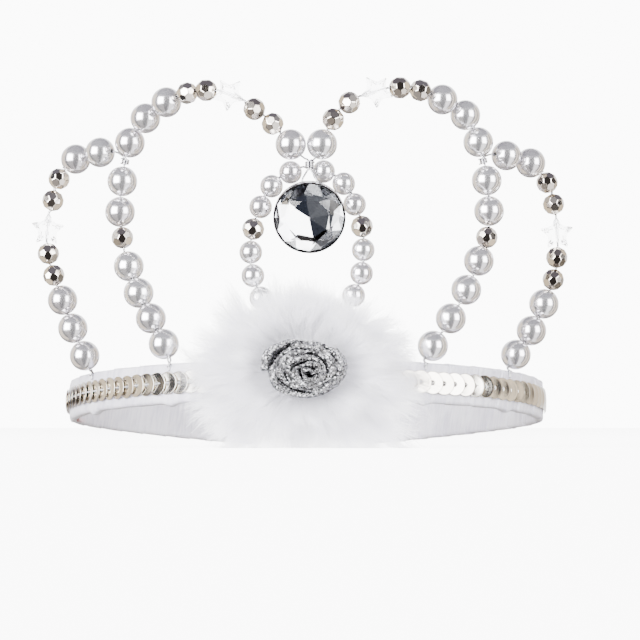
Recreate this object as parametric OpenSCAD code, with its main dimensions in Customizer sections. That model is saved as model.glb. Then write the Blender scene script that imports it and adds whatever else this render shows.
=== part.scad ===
// Mini crown headband. A C-shaped band wound with satin ribbon carries a small
// crown: five strings of beads on wire, a hanging stone, a row of sequins, and a
// ribbon rose on a tuft of marabou.
//
// Most pieces are worked out in the band's own frame: X to the right, Y back from
// the front of the band's outer face, Z up from the band's lower edge. rest() then
// leans everything back onto the surface that the headband stands on.

/* [Band] */
// Width over the band's outer faces
band_w = 130; // [120:1:140]
// Depth of the front arch, from its front face to where the band is widest
front_depth = 56; // [50:1:62]
// How far the arms run back behind the widest place
arm_depth = 69; // [62:1:76]
// Clear width between the tips
tip_gap = 29; // [24:1:34]
// Height of the satin-wound strip
strip_h = 10.6; // [9:0.2:12.6]
// Thickness of the strip with its satin
strip_t = 2.4; // [2:0.1:3]
// Length of strip that each turn of ribbon covers
wrap_pitch = 9.6; // [8:0.4:12]
// How far the edge of each turn stands proud of the turn before
wrap_lap = 0.25; // [0.1:0.05:0.4]
// Corner radius of the left tip
left_tip_r = 2.2; // [1:0.2:4]
// Corner radius of the right tip
right_tip_r = 4.4; // [2:0.2:5]
// How far the satin stands out where a wire is tied in under it
tie_lump = 0.7; // [0.3:0.1:1.2]

/* [Sequins] */
// Diameter of a sequin
sequin_d = 6; // [5:0.2:7]
// Thickness of a sequin
sequin_t = 0.15; // [0.1:0.05:0.25]
// Diameter of a sequin's centre hole
sequin_hole_d = 0.9; // [0.7:0.1:1.2]
// Distance from one sequin to the next
sequin_pitch = 3.4; // [3.1:0.1:4]
// How far the row runs on past the widest place of the band
sequin_overrun = 6; // [0:1:12]

/* [Beads] */
// Diameter of a pearl in the four side strings
pearl_d = 8; // [7.2:0.1:8.2]
// Diameter of a pearl in the centre string
small_pearl_d = 6; // [5.4:0.1:6.2]
// Diameter of a silver bead over its facets
silver_d = 5.9; // [5.6:0.1:6.2]
// Radius of a star bead to its points
star_r = 4.8; // [4.4:0.1:5]
// Radius of a star bead to its notches
star_notch_r = 2.5; // [2.2:0.1:2.8]
// Thickness of a star bead
star_t = 4; // [3:0.2:4.6]
// Diameter of the hole through a bead
bead_hole_d = 1.2; // [1:0.1:1.4]
// Diameter of the wire
wire_d = 0.5; // [0.4:0.05:0.6]
// Space between one bead and the next
bead_gap = 0.2; // [0.15:0.05:0.3]
// Length of bare wire where two strings are tied together
joint_gap = 2.1; // [2:0.1:2.4]
// Length of bare wire in the loosely strung stretches
bare_gap = 1; // [0.6:0.1:1.4]
// Length of bare wire in the centre string, where it passes behind the crossing
cross_gap = 2.4; // [2:0.1:3]

/* [Stone] */
// Diameter of the stone
gem_d = 18; // [16:0.5:19]
// Thickness of the stone
gem_t = 5.6; // [4.6:0.2:6.4]
// Width of the stone's flat table, between opposite sides
table_w = 10.4; // [9:0.2:11.4]
// Height of the straight edge round the stone
girdle_t = 1.2; // [0.8:0.1:1.6]
// Wall of the metal rim round the stone
rim_t = 0.35; // [0.25:0.05:0.5]
// Depth of the metal rim, from its back plate forward
rim_depth = 1.9; // [1.4:0.1:2.4]
// Thickness of the back plate
plate_t = 0.5; // [0.4:0.1:0.8]
// Outside diameter of the eyelet behind the stone
eyelet_d = 1.6; // [1.5:0.1:2]
// Diameter of the eyelet's hole
eyelet_hole_d = 0.8; // [0.8:0.05:1]
// Length of the eyelet
eyelet_w = 2.6; // [2:0.1:3]
// How far the eyelet sits below the top of the rim
eyelet_drop = 1.2; // [1:0.1:2]
// Diameter of the loop's wire
loop_wire_d = 0.5; // [0.4:0.05:0.6]

/* [Rose] */
// Width of the rose
rose_w = 21.5; // [19:0.5:24]
// Height of the rose
rose_h = 16; // [14:0.5:18]
// Depth of the rose at its middle, from its base forward
rose_depth = 8; // [6:0.2:10]
// Thickness of the rolled ribbon
rose_ribbon_t = 0.6; // [0.4:0.1:0.8]
// Distance from one turn of the rolled ribbon to the next
rose_pitch = 2.2; // [2:0.1:2.6]

/* [Fluff] */
// Half width of the marabou, from its middle to the longest locks at the sides
fluff_reach = 32; // [28:1:36]
// How far the locks reach up from the middle of the rose
fluff_rise = 22; // [18:1:24]
// How far the lowest locks hang below the band's lower edge
fluff_drop = 13; // [10:0.5:15]
// Number of locks in each layer
lock_count = 22; // [18:1:26]
// Width of a lock where it leaves the backing
lock_w = 6; // [5:0.5:7]
// Thickness of the backing
backing_t = 1.4; // [1:0.1:1.8]

/* [Hidden] */

// Small space kept between neighbouring pieces
clear = 0.1;
// Roundness of the true circles
$fn = 48;

// Beads by letter: P pearl, p small pearl, F faceted silver, S star. G is a stretch
// of bare wire, J a tied joint and X the tied crossing. Each route runs from just
// above the band to the string's end, in the band's own frame.
LEFT_OUTER_BEADS = "PPPFFSFFPP";
LEFT_OUTER_ROUTE = [
    [-57, 28.5, 11.6], [-59.5, 29, 15.5], [-62.5, 29.5, 22.5], [-65.5, 30, 30.5],
    [-68, 30, 37.5], [-69.5, 30, 44], [-69.5, 30, 51], [-68, 29.5, 58],
    [-66, 28.5, 64], [-61, 26, 68.5], [-55, 22, 69], [-49, 18.5, 68]
];
LEFT_INNER_BEADS = "PPPPGFPPJPPPFFSFFP";
LEFT_INNER_ROUTE = [
    [-35.5, 9.5, 12.2], [-37.5, 10.5, 16.5], [-41.5, 13, 24.5], [-45, 15.5, 32],
    [-47.5, 17.5, 39.5], [-49, 19, 47], [-49.5, 19.5, 55], [-48.5, 18.5, 63],
    [-46.5, 16.5, 71.5], [-42, 12.5, 77], [-36.5, 8, 80], [-31, 4, 81.5],
    [-25.5, 0.5, 81.5], [-20, -1.5, 80], [-13.5, -2.5, 76], [-9, -2, 72.5],
    [-4.5, -1, 67.5], [0, 0, 63]
];
CENTRE_BEADS = "pppppFpppXpppFppppp";
CENTRE_ROUTE = [
    [-7.5, 1.6, 12], [-8.5, 2, 15], [-10, 2.2, 22], [-12, 2.2, 28], [-14, 2.2, 34],
    [-14.2, 2.2, 41], [-13.2, 2.2, 47], [-11.2, 2.2, 52], [-8, 2.4, 57.5], [-3, 2.6, 60.5],
    [1, 2.6, 61], [5, 2.6, 60.2], [10, 2.4, 57], [12.8, 2.2, 51.5], [14.7, 2.2, 45.5],
    [15, 2.2, 39], [14.5, 2.2, 33], [12.5, 2.2, 27.5], [10.5, 2.2, 22.5], [9, 2, 15.5],
    [7.5, 1.6, 11]
];
RIGHT_INNER_BEADS = "PGPGPGPFPPJPPPFFSFFP";
RIGHT_INNER_ROUTE = [
    [31.2, 7.8, 11.6], [33.5, 8.5, 15.5], [38, 11, 22.5], [42, 13.5, 30], [45.5, 16.5, 38],
    [48.2, 18.6, 46], [48.7, 18.6, 53.5], [48, 18, 61.5], [46.2, 16.2, 69.5],
    [42.8, 13, 76.8], [36.2, 8.5, 80.6], [30.5, 5, 82.3], [24.5, 2, 82.5], [18, 0, 81],
    [11.5, -1, 78], [7.5, -1, 74], [4.8, -0.5, 68], [2, 0, 63]
];
RIGHT_OUTER_BEADS = "PPPFFSFFPP";
RIGHT_OUTER_ROUTE = [
    [54, 25, 11.8], [56, 26.5, 15], [60.5, 28.5, 22], [64, 29.5, 29.5], [66.5, 30, 36],
    [67.5, 30, 42.5], [67.5, 30, 49.5], [66.5, 29.5, 57], [64.5, 28, 62.5],
    [60, 25.5, 67], [54, 21.5, 68], [47.5, 17.5, 67]
];

// Where the inner strings and the centre wire cross, and the stone hangs
cross_x = 1;
cross_z = 61.5;
// Space between the two wires that run side by side in a tied bundle
bundle_half = wire_d / 2 + 0.05;

half_w = band_w / 2;
tip_x = tip_gap / 2 + 0.7 * strip_t;
tip_y = front_depth + arm_depth;
silver_r = silver_d / 2;

// The plan of the band's outer face, from the front centre to the right tip: half
// of an ellipse's front, then one curve that brings the arm in behind the head
PLAN_STEPS = 24;
arm_pull = 0.26 * arm_depth;
function curve(a, b, c, d, t) =
    pow(1 - t, 3) * a + 3 * t * pow(1 - t, 2) * b + 3 * t * t * (1 - t) * c + t * t * t * d;
PLAN = concat(
    [for (i = [0:PLAN_STEPS])
        let (a = 90 * i / PLAN_STEPS)
        [half_w * sin(a), front_depth * (1 - cos(a))]],
    [for (i = [1:PLAN_STEPS])
        curve([half_w, front_depth], [half_w, front_depth + arm_pull],
              [tip_x + 0.5 * (half_w - tip_x), tip_y - 0.37 * arm_depth],
              [tip_x, tip_y], i / PLAN_STEPS)]
);

// Distance along a path up to each of its points
function run(path) = [
    for (i = 0, s = 0; i < len(path);
         s = s + (i < len(path) - 1 ? norm(path[i + 1] - path[i]) : 0), i = i + 1) s
];
PLAN_RUN = run(PLAN);
half_run = PLAN_RUN[len(PLAN) - 1];
widest_run = PLAN_RUN[PLAN_STEPS];
X_BY_RUN = [for (i = [0:len(PLAN) - 1]) [PLAN_RUN[i], PLAN[i].x]];
Y_BY_RUN = [for (i = [0:len(PLAN) - 1]) [PLAN_RUN[i], PLAN[i].y]];
RUN_BY_X = [for (i = [0:PLAN_STEPS]) [PLAN[i].x, PLAN_RUN[i]]];

// A point of the band's outer face, s along it from the front centre, left negative
function plan(s) = [sign(s) * lookup(abs(s), X_BY_RUN), lookup(abs(s), Y_BY_RUN)];
function along(s) =
    let (d = plan(min(s + 0.5, half_run)) - plan(max(s - 0.5, -half_run))) d / norm(d);
function outward(s) = let (d = along(s)) [d.y, -d.x];
// A point s along the band, out mm outside its outer face, at height z
function on_band(s, out, z) =
    let (p = plan(s) + out * outward(s)) [p.x, p.y, z];
function run_at(x) = sign(x) * lookup(abs(x), RUN_BY_X);

// Leans the band's frame back until the tips and the lowest locks share a surface,
// and puts the origin under the middle of the object's box
fluff_mid_z = 0.7 * strip_h;
rose_back = 2.9;
fluff_out = 4;
rest_tilt = atan(fluff_drop / (tip_y + fluff_out));
sink = tip_y * sin(rest_tilt);
front_y = -(rose_back + rose_depth) * cos(rest_tilt) + fluff_mid_z * sin(rest_tilt);
back_y = tip_y * cos(rest_tilt) + strip_h * sin(rest_tilt);
module rest() {
    translate([-mid_x, -(front_y + back_y) / 2, sink]) rotate([-rest_tilt, 0, 0]) children();
}

// A closed skin through rings of points, each ring clockwise as seen looking back
// along the way that the rings run
module skin(rings) {
    n = len(rings[0]);
    last = len(rings) - 1;
    polyhedron(
        points = [for (ring = rings) each ring],
        faces = concat(
            [[for (j = [0:n - 1]) n - 1 - j]],
            [for (i = [0:last - 1], j = [0:n - 1])
                let (k = (j + 1) % n)
                [i * n + j, i * n + k, (i + 1) * n + k, (i + 1) * n + j]],
            [[for (j = [0:n - 1]) last * n + j]]
        ),
        convexity = 8
    );
}

// Half of the strip's section, as shares of its half thickness and half height
SECTION = [
    [1, 0.55], [0.86, 0.86], [0.45, 1], [-0.45, 1], [-0.86, 0.86], [-1, 0.55],
    [-1, -0.55], [-0.86, -0.86], [-0.45, -1], [0.45, -1], [0.86, -0.86], [1, -0.55]
];
RINGS_PER_TURN = 5;
wrap_slant = 0.18;
// Height left at a distance from a tip whose corners have radius r
function tip_share(d, r) =
    d >= r ? 1 : 1 - (r - sqrt(max(0, r * r - (r - d) * (r - d)))) / (strip_h / 2);
TIE_RUNS = [
    for (x = [LEFT_OUTER_ROUTE[0].x, LEFT_INNER_ROUTE[0].x,
              RIGHT_INNER_ROUTE[0].x, RIGHT_OUTER_ROUTE[0].x]) run_at(x)
];
tie_w = 2.4;
// How far the satin stands out at s along the strip, over the wires' ties
function tie_out(s) = max([for (t = TIE_RUNS) max(0, 1 - abs(s - t) / tie_w)]) * tie_lump;

function strip_ring(s, lap) =
    let (share = min(tip_share(half_run - s, right_tip_r), tip_share(half_run + s, left_tip_r)))
    [for (p = SECTION)
        let (z = p.y * strip_h / 2 * share,
             lean = max(-half_run, min(half_run, s + wrap_slant * z)),
             low = p.y < -0.8 ? tie_out(lean) : 0,
             across = p.x * (strip_t / 2 - wrap_lap + lap))
        on_band(lean, across - strip_t / 2, strip_h / 2 + z - low)];

module band() {
    turns = floor(2 * (half_run - right_tip_r - 1) / wrap_pitch);
    start = -turns * wrap_pitch / 2;
    color("#e6e4ee") rest() skin(concat(
        [for (k = [0:3]) strip_ring(-half_run + left_tip_r * (1 - cos(22.5 * k)), 0)],
        [for (i = [0:turns - 1], k = [0:RINGS_PER_TURN - 1])
            let (share = k / (RINGS_PER_TURN - 1))
            strip_ring(start + wrap_pitch * (i + 0.02 + 0.96 * share), wrap_lap * (1 - share))],
        [for (k = [3:-1:0]) strip_ring(half_run - right_tip_r * (1 - cos(22.5 * k)), 0)]
    ));
}

// Each sequin lies with its left edge on the one to its left
bend_r = front_depth * front_depth / half_w;
sequin_tilt = asin((sequin_t + clear + sequin_pitch * sequin_pitch / 2 / bend_r) / (sequin_d / 2));
sequin_out = clear + sequin_t / 2 + sequin_d / 2 * sin(sequin_tilt);
sequin_reach = widest_run + sequin_overrun;

module sequin(s) {
    d = along(s);
    translate(on_band(s, sequin_out, strip_h / 2))
        rotate([0, 0, atan2(d.y, d.x) - sequin_tilt]) rotate([90, 0, 0])
            difference() {
                cylinder(d = sequin_d, h = sequin_t, center = true);
                cylinder(d = sequin_hole_d, h = 3 * sequin_t, center = true);
            }
}

module sequins() {
    count = floor(sequin_reach / sequin_pitch);
    color("#b9ab9c") rest() for (i = [-count:count]) sequin(i * sequin_pitch);
}

// A smooth path through a route's points
ROUTE_STEPS = 8;
function smooth(p) = let (n = len(p) - 1) concat(
    [for (i = [0:n - 1], k = [0:ROUTE_STEPS - 1])
        let (t = k / ROUTE_STEPS,
             a = p[max(i - 1, 0)], b = p[i], c = p[i + 1], d = p[min(i + 2, n)])
        0.5 * (2 * b + (c - a) * t + (2 * a - 5 * b + 4 * c - d) * t * t
               + (3 * b - 3 * c + d - a) * t * t * t)],
    [p[n]]
);

// How far the round bead in a star's notch stays short of the notch's corner
notch_half = atan2(star_r * sin(36), star_r * cos(36) - star_notch_r);
notch_seat = silver_r / sin(notch_half) - silver_r + 6 * clear;
// Space that a bead takes along its wire, before and after its middle
function before(code) =
    code == "P" ? pearl_d / 2 : code == "p" ? small_pearl_d / 2 :
    code == "F" ? silver_r : code == "S" ? star_notch_r + notch_seat :
    code == "G" ? bare_gap / 2 : code == "X" ? cross_gap / 2 : joint_gap / 2;
function after(code) = code == "S" ? star_r : before(code);

// Index of the first point from i on that lies at least far from a
function reach(path, i, a, far) =
    i >= len(path) - 1 || norm(path[i] - a) >= far ? i : reach(path, i + 1, a, far);
// The point between path[i - 1] and path[i] that lies just far from a
function meet(path, i, a, far) =
    let (p = path[max(i - 1, 0)], q = path[i], dp = norm(p - a), dq = norm(q - a))
    dq - dp < 0.001 ? q : p + (q - p) * min(1, (far - dp) / (dq - dp));

// Middles of the beads, walked along the path one after the other
function walk(path, codes, k = 0, at = 0, from = undef) =
    k >= len(codes) ? [] :
    let (a = k == 0 ? path[0] : from,
         far = (k == 0 ? clear : after(codes[k - 1]) + bead_gap) + before(codes[k]),
         i = reach(path, at, a, far),
         p = meet(path, i, a, far))
    i >= len(path) - 1 ? [] : concat([p], walk(path, codes, k + 1, i, p));

// The strung beads: each one's middle, the way its hole runs, and its letter
function strung(route, codes) =
    let (path = smooth(route), mids = walk(path, codes), n = len(mids) - 1)
    [for (i = [0:n])
        let (a = i == 0 ? path[0] : mids[i - 1],
             b = i == n ? path[len(path) - 1] : mids[i + 1],
             d = b - a)
        [mids[i], d / norm(d), codes[i]]];

LEFT_OUTER = strung(LEFT_OUTER_ROUTE, LEFT_OUTER_BEADS);
LEFT_INNER = strung(LEFT_INNER_ROUTE, LEFT_INNER_BEADS);
CENTRE = strung(CENTRE_ROUTE, CENTRE_BEADS);
RIGHT_INNER = strung(RIGHT_INNER_ROUTE, RIGHT_INNER_BEADS);
RIGHT_OUTER = strung(RIGHT_OUTER_ROUTE, RIGHT_OUTER_BEADS);

// Sideways middle of the object's box, over the beads that stand out furthest
function side_reach(beads, way) =
    max([for (b = beads) way * b[0].x + (b[2] == "S" ? star_r * sin(72) : before(b[2]))]);
mid_x = (side_reach(RIGHT_OUTER, 1) - side_reach(LEFT_OUTER, -1)) / 2;

// Turns a piece that is made along +Z to lie along d, with its +X kept level
module aim(d) {
    multmatrix(let (w = d / norm(d), s = cross([0, 1, 0], w), u = s / norm(s), v = cross(w, u))
        [[u.x, v.x, w.x, 0], [u.y, v.y, w.y, 0], [u.z, v.z, w.z, 0], [0, 0, 0, 1]]) children();
}

module pearl(d) {
    difference() {
        sphere(d = d);
        cylinder(d = bead_hole_d, h = 2 * d, center = true);
    }
}

// A football-cut bead: twelve five-sided and twenty six-sided flats
GOLD = (1 + sqrt(5)) / 2;
FIVE_WAYS = [for (s = [-1, 1]) each [[0, 1, s * GOLD], [1, s * GOLD, 0], [s * GOLD, 0, 1]]];
SIX_WAYS = concat(
    [for (a = [-1, 1], b = [-1, 1]) [a, b, 1]],
    [for (s = [-1, 1]) each [[s / GOLD, 0, GOLD], [GOLD, s / GOLD, 0], [0, GOLD, s / GOLD]]]
);
six_share = 0.9149;
five_share = 0.9393;
module silver_bead() {
    difference() {
        intersection() {
            intersection_for(w = FIVE_WAYS)
                aim(w) cube([2 * silver_d, 2 * silver_d, five_share * silver_d], center = true);
            intersection_for(w = SIX_WAYS)
                aim(w) cube([2 * silver_d, 2 * silver_d, six_share * silver_d], center = true);
        }
        cylinder(d = bead_hole_d, h = 2 * silver_d, center = true);
    }
}

// A puffed five-pointed star, drilled from a notch to the opposite point
star_edge = 0.62;
module star_bead() {
    outline = [for (i = [0:9])
        let (r = i % 2 == 0 ? star_r : star_notch_r, a = 36 * i)
        [r * sin(a), r * cos(a)]];
    difference() {
        rotate([90, 0, 0]) for (way = [0, 1]) mirror([0, 0, way])
            linear_extrude(height = star_t / 2, scale = star_edge) polygon(outline);
        cylinder(d = bead_hole_d, h = 3 * star_r, center = true);
    }
}

module beads(string, code) {
    rest() for (b = string) if (b[2] == code)
        translate(b[0]) aim(b[1])
            if (code == "S") star_bead();
            else if (code == "F") silver_bead();
            else pearl(2 * before(code));
}

WIRE_SIDES = 6;
function unit(v) = v / norm(v);
// The part of u that is square to the way d
function square_to(u, d) = unit(u - (u * d) * d);
function ring_round(p, d, u, r) =
    let (v = cross(d, u))
    [for (j = [0:WIRE_SIDES - 1])
        let (a = 360 * j / WIRE_SIDES) p + r * (cos(a) * u - sin(a) * v)];
// A wire through a list of points, its rings carried along without a twist
module wire(points, d = wire_d) {
    n = len(points) - 1;
    ways = [for (i = [0:n]) unit(points[min(i + 1, n)] - points[max(i - 1, 0)])];
    skin([
        for (i = 0, u = square_to([0.3, 1, 0.2], ways[0]); i <= n;
             u = square_to(u, ways[min(i + 1, n)]), i = i + 1)
            ring_round(points[i], ways[i], u, d / 2)
    ]);
}

// The places that the wire runs straight between, in each bead and tied joint
wind_d = 0.45;
wind_gap = 0.05;
bundle_r = sqrt(2) * bundle_half + wire_d / 2;
cross_y = -bundle_half;
behind_cross = cross_y + bundle_r + wind_gap + wind_d + clear + wire_d / 2;
function places(b) =
    b[2] == "X" ? [[b[0].x, behind_cross, b[0].z]] :
    b[2] == "G" ? [b[0]] :
    b[2] == "J" ? [for (h = [-0.35, 0.35]) b[0] + h * joint_gap * b[1]] :
    [b[0] - (b[2] == "S" ? star_notch_r : before(b[2])) * b[1], b[0] + after(b[2]) * b[1]];
function through(string) = [for (b = string) each places(b)];

// The wire's foot: up the outer face from just above the sequins and over the edge
foot_low = strip_h / 2 + sequin_d / 2 + 0.3;
foot_out = wire_d / 2 + clear;
function foot(x) = let (s = run_at(x)) [
    on_band(s, foot_out, foot_low),
    on_band(s, foot_out, (foot_low + strip_h) / 2),
    on_band(s, foot_out * 0.9, strip_h - 0.15)
];
function flip(list) = [for (i = [len(list) - 1:-1:0]) list[i]];

// The end of a wire that runs down into the tied crossing
function into_cross(side) = [
    [cross_x + side * bundle_half, 0, cross_z + 1.3],
    [cross_x + side * bundle_half, 0, cross_z - 1.3]
];

// The end of an outer wire, laid beside the inner wire at their tied joint
function joint_of(string) = [for (b = string) if (b[2] == "J") b][0];
function beside(joint) =
    [for (h = [0.35, -0.3]) joint[0] + [0, -2 * bundle_half, 0] + h * joint_gap * joint[1]];

module wire_of(string, route, end) {
    color("silver") rest() wire(concat(foot(route[0].x), through(string), end));
}

module left_outer_wire() { wire_of(LEFT_OUTER, LEFT_OUTER_ROUTE, beside(joint_of(LEFT_INNER))); }
module left_inner_wire() { wire_of(LEFT_INNER, LEFT_INNER_ROUTE, into_cross(-1)); }
module right_inner_wire() { wire_of(RIGHT_INNER, RIGHT_INNER_ROUTE, into_cross(1)); }
module right_outer_wire() { wire_of(RIGHT_OUTER, RIGHT_OUTER_ROUTE, beside(joint_of(RIGHT_INNER))); }
module centre_wire() {
    wire_of(CENTRE, CENTRE_ROUTE, flip(foot(CENTRE_ROUTE[len(CENTRE_ROUTE) - 1].x)));
}

module left_outer_pearls() { color("#f4efe8") beads(LEFT_OUTER, "P"); }
module left_outer_silver() { color("silver") beads(LEFT_OUTER, "F"); }
module left_outer_star() { color("#e8eef2", 0.6) beads(LEFT_OUTER, "S"); }
module left_inner_pearls() { color("#f4efe8") beads(LEFT_INNER, "P"); }
module left_inner_silver() { color("silver") beads(LEFT_INNER, "F"); }
module left_inner_star() { color("#e8eef2", 0.6) beads(LEFT_INNER, "S"); }
module centre_pearls() { color("#f4efe8") beads(CENTRE, "p"); }
module centre_silver() { color("silver") beads(CENTRE, "F"); }
module right_inner_pearls() { color("#f4efe8") beads(RIGHT_INNER, "P"); }
module right_inner_silver() { color("silver") beads(RIGHT_INNER, "F"); }
module right_inner_star() { color("#e8eef2", 0.6) beads(RIGHT_INNER, "S"); }
module right_outer_pearls() { color("#f4efe8") beads(RIGHT_OUTER, "P"); }
module right_outer_silver() { color("silver") beads(RIGHT_OUTER, "F"); }
module right_outer_star() { color("#e8eef2", 0.6) beads(RIGHT_OUTER, "S"); }

// Turns of wire wound close round a bundle whose half width is r
module winding(r, turns) {
    for (i = [0:turns - 1])
        translate([0, 0, (i - (turns - 1) / 2) * 0.85 * wind_d])
            rotate_extrude() translate([r + wind_gap + wind_d / 2, 0]) circle(d = wind_d);
}

module joint_winding(joint) {
    color("silver") rest() translate(joint[0] + [0, -bundle_half, 0]) aim(joint[1])
        winding(bundle_half + wire_d / 2, 3);
}
module left_joint() { joint_winding(joint_of(LEFT_INNER)); }
module right_joint() { joint_winding(joint_of(RIGHT_INNER)); }
module crossing() {
    color("silver") rest() translate([cross_x, cross_y, cross_z]) winding(bundle_r, 4);
}

// The stone hangs by its eyelet, its weight straight below the loop's bar
gem_r = gem_d / 2;
rim_r = gem_r + clear / 2 + rim_t;
gem_mid_z = 47.9;
pivot_z = gem_mid_z + rim_r - eyelet_drop;
pivot_y = -1.6;
plate_y = eyelet_d / 2 - 0.1;
gem_lean = 16;
module hang() {
    rest() translate([cross_x, pivot_y, pivot_z]) rotate([rest_tilt + gem_lean, 0, 0]) children();
}
// From the eyelet's middle to the middle of the back plate's front, facing forward
module on_plate() {
    translate([0, -plate_y - plate_t, eyelet_drop - rim_r]) rotate([90, 0, 0]) children();
}

module gem_setting() {
    color("silver") hang() difference() {
        union() {
            on_plate() translate([0, 0, -plate_t]) difference() {
                cylinder(r = rim_r, h = plate_t + rim_depth);
                translate([0, 0, plate_t]) cylinder(r = rim_r - rim_t, h = rim_depth + 1);
            }
            rotate([0, 90, 0]) cylinder(d = eyelet_d, h = eyelet_w, center = true);
        }
        rotate([0, 90, 0]) cylinder(d = eyelet_hole_d, h = 2 * eyelet_w, center = true);
    }
}

// The cut stone: a flat table, eight star flats, eight kites and sixteen flats that
// meet the straight edge
star_ring_r = 7.6 / 9 * gem_r;
module gem() {
    top = gem_t - clear;
    table_r = table_w / 2 / cos(22.5);
    slope = (top - girdle_t) / (gem_r - table_r);
    star_z = top - (star_ring_r * cos(22.5) - table_r) * slope;
    function round_at(n, r, z, turn) =
        [for (i = [0:n - 1]) let (a = 360 / n * (i + turn)) [r * cos(a), r * sin(a), z]];
    points = concat(
        round_at(8, table_r, top, 0.5), round_at(8, star_ring_r, star_z, 0),
        round_at(16, gem_r, girdle_t, 0), round_at(16, gem_r, 0, 0)
    );
    faces = concat(
        [[for (i = [0:7]) 7 - i]],
        [for (i = [0:7]) let (k = (i + 1) % 8) each [
            [i, k, 8 + k],
            [i, 8 + k, 17 + 2 * i], [i, 17 + 2 * i, 8 + i],
            [8 + i, 17 + 2 * i, 16 + 2 * i], [8 + k, 16 + (2 * i + 2) % 16, 17 + 2 * i]]],
        [for (i = [0:15]) let (k = (i + 1) % 16) [16 + i, 16 + k, 32 + k, 32 + i]],
        [[for (i = [0:15]) 32 + i]]
    );
    color("#dfe6ee", 0.6) hang() on_plate() translate([0, 0, clear])
        polyhedron(points = points, faces = faces);
}

bar_half = 1.85;
module gem_loop() {
    bend = loop_wire_d;
    top_z = cross_z - pivot_z;
    tie_y = -2 * bundle_half - pivot_y;
    right = [
        [bar_half - bend, 0, 0], [bar_half - 0.3 * bend, 0, 0.3 * bend],
        [bar_half, 0, bend], [bar_half - 0.1, 0, 1.6],
        [0.6, tie_y - 0.1, top_z - 1.6], [bundle_half, tie_y, top_z - 1],
        [bundle_half, tie_y, top_z + 1.35]
    ];
    left = [for (p = flip(right)) [-p.x, p.y, p.z]];
    color("silver") rest() translate([cross_x, pivot_y, pivot_z])
        wire(concat(left, right), loop_wire_d);
}

// The rolled ribbon of the rose, in the rose's own plane, seen from the front. Its
// inner end rises out of the rose's base
ROSE_STEPS = 20;
RIBBON = [[0.5, 0], [0.5, 0.6], [1.3, 0.96], [0.1, 1], [-0.5, 0.6], [-0.5, 0]];
rose_heart_r = 0.9;
rose_turns = (rose_w / 2 - rose_heart_r - rose_ribbon_t) / rose_pitch;
swirl_x = 1.2;
swirl_z = -1.6;
lobes_per_turn = 2.6;
rose_base = 1;
rose_root = 0.5 * rose_base;
function rose_ring(turn) =
    let (share = turn / rose_turns,
         a = 360 * turn,
         r = rose_heart_r + rose_pitch * turn,
         lobe = 0.5 + 0.5 * cos(a * lobes_per_turn),
         h = turn == 0 ? 0.8 * rose_base
             : rose_depth * (1 - 0.45 * share * share) * (0.86 + 0.14 * lobe))
    [for (p = RIBBON)
        let (rr = r + p.x * rose_ribbon_t)
        [swirl_x * (1 - share) + rr * cos(a),
         -rose_root - p.y * (h - rose_root),
         (swirl_z * (1 - share) + rr * sin(a) * rose_h / rose_w)]];
module rose() {
    color("#b9bac2") rest() translate([0, -rose_back, fluff_mid_z]) {
        skin([for (k = [0:floor(ROSE_STEPS * rose_turns)]) rose_ring(k / ROSE_STEPS)]);
        rotate([90, 0, 0]) linear_extrude(height = rose_base)
            polygon([for (i = [0:23])
                let (a = 15 * i) [0.44 * rose_w * cos(a), 0.44 * rose_h * sin(a)]]);
    }
}

// Locks of marabou: each layer leaves the backing at its own height and reaches a
// share of the full way out
LAYERS = [
    // reach share, turn, forward at the tip, width share
    [1.00, 0.0, 3.9, 1.0],
    [0.86, 0.5, 5.2, 0.95],
    [0.72, 0.2, 7.0, 0.85]
];
LOCK_SECTION = [[1, 0], [0.3, 1], [-0.7, 0.8], [-0.8, -0.7], [0.4, -1]];
LOCK_STEPS = 5;
backing_w = 0.42 * fluff_reach;
backing_h = 0.36 * fluff_rise;
// Below the rose the locks keep low over a wide span, and the floor presses the lowest flat
low_power = 4;
low_press = 1.2;
function lock_reach(a) =
    let (power = a > 0 ? 2 : low_power,
         far = a > 0 ? fluff_rise : fluff_mid_z + fluff_drop + low_press)
    pow(pow(abs(cos(a)) / fluff_reach, power) + pow(abs(sin(a)) / far, power), -1 / power);
// The locks lie flat behind the rose and spread forward past its edge
root_out = 2;
root_t = 0.5;
function rose_edge(a) =
    rose_w / 2 * rose_h / 2 / norm([rose_h / 2 * cos(a), rose_w / 2 * sin(a)]) + 0.6;
function lock_ring(a, far, row, k) =
    let (t = max(0, (k - 1) / (LOCK_STEPS - 1)),
         bend = a + 14 * sin(97 * far + 2.1 * a) * t,
         r = k == 0 ? backing_h / 2 : rose_edge(a) + (far - rose_edge(a)) * t,
         side = plan(run_at(r * cos(bend))).y,
         y = side - root_out - (row[2] - root_out) * sin(90 * t),
         w = lock_w / 2 * row[3] * (0.55 + 1.5 * t - 1.75 * t * t * t),
         thick = k < 2 ? root_t : 0.3 * w + 0.1)
    [for (p = LOCK_SECTION)
        [r * cos(bend) - p.x * w * sin(bend), y + p.y * thick,
         fluff_mid_z + r * sin(bend) + p.x * w * cos(bend)]];
module lock(a, row, i) {
    far = lock_reach(a) * row[0] * (0.9 + 0.1 * cos(137.5 * i));
    skin([for (k = [0:LOCK_STEPS]) lock_ring(a, far, row, k)]);
}
module fluff() {
    color("#f2f1f7") difference() {
        rest() {
            translate([0, -0.5 * strip_t, fluff_mid_z]) rotate([90, 0, 0])
                linear_extrude(height = backing_t)
                    polygon([for (i = [0:23])
                        let (a = 15 * i) [backing_w * cos(a), backing_h * sin(a)]]);
            for (row = LAYERS, i = [0:lock_count - 1])
                lock(-180 + 360 * (i + row[1] + 0.25) / lock_count, row, i);
        }
        translate([-band_w, -band_w, -50]) cube([2 * band_w, 2 * band_w, 50]);
    }
}

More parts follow.
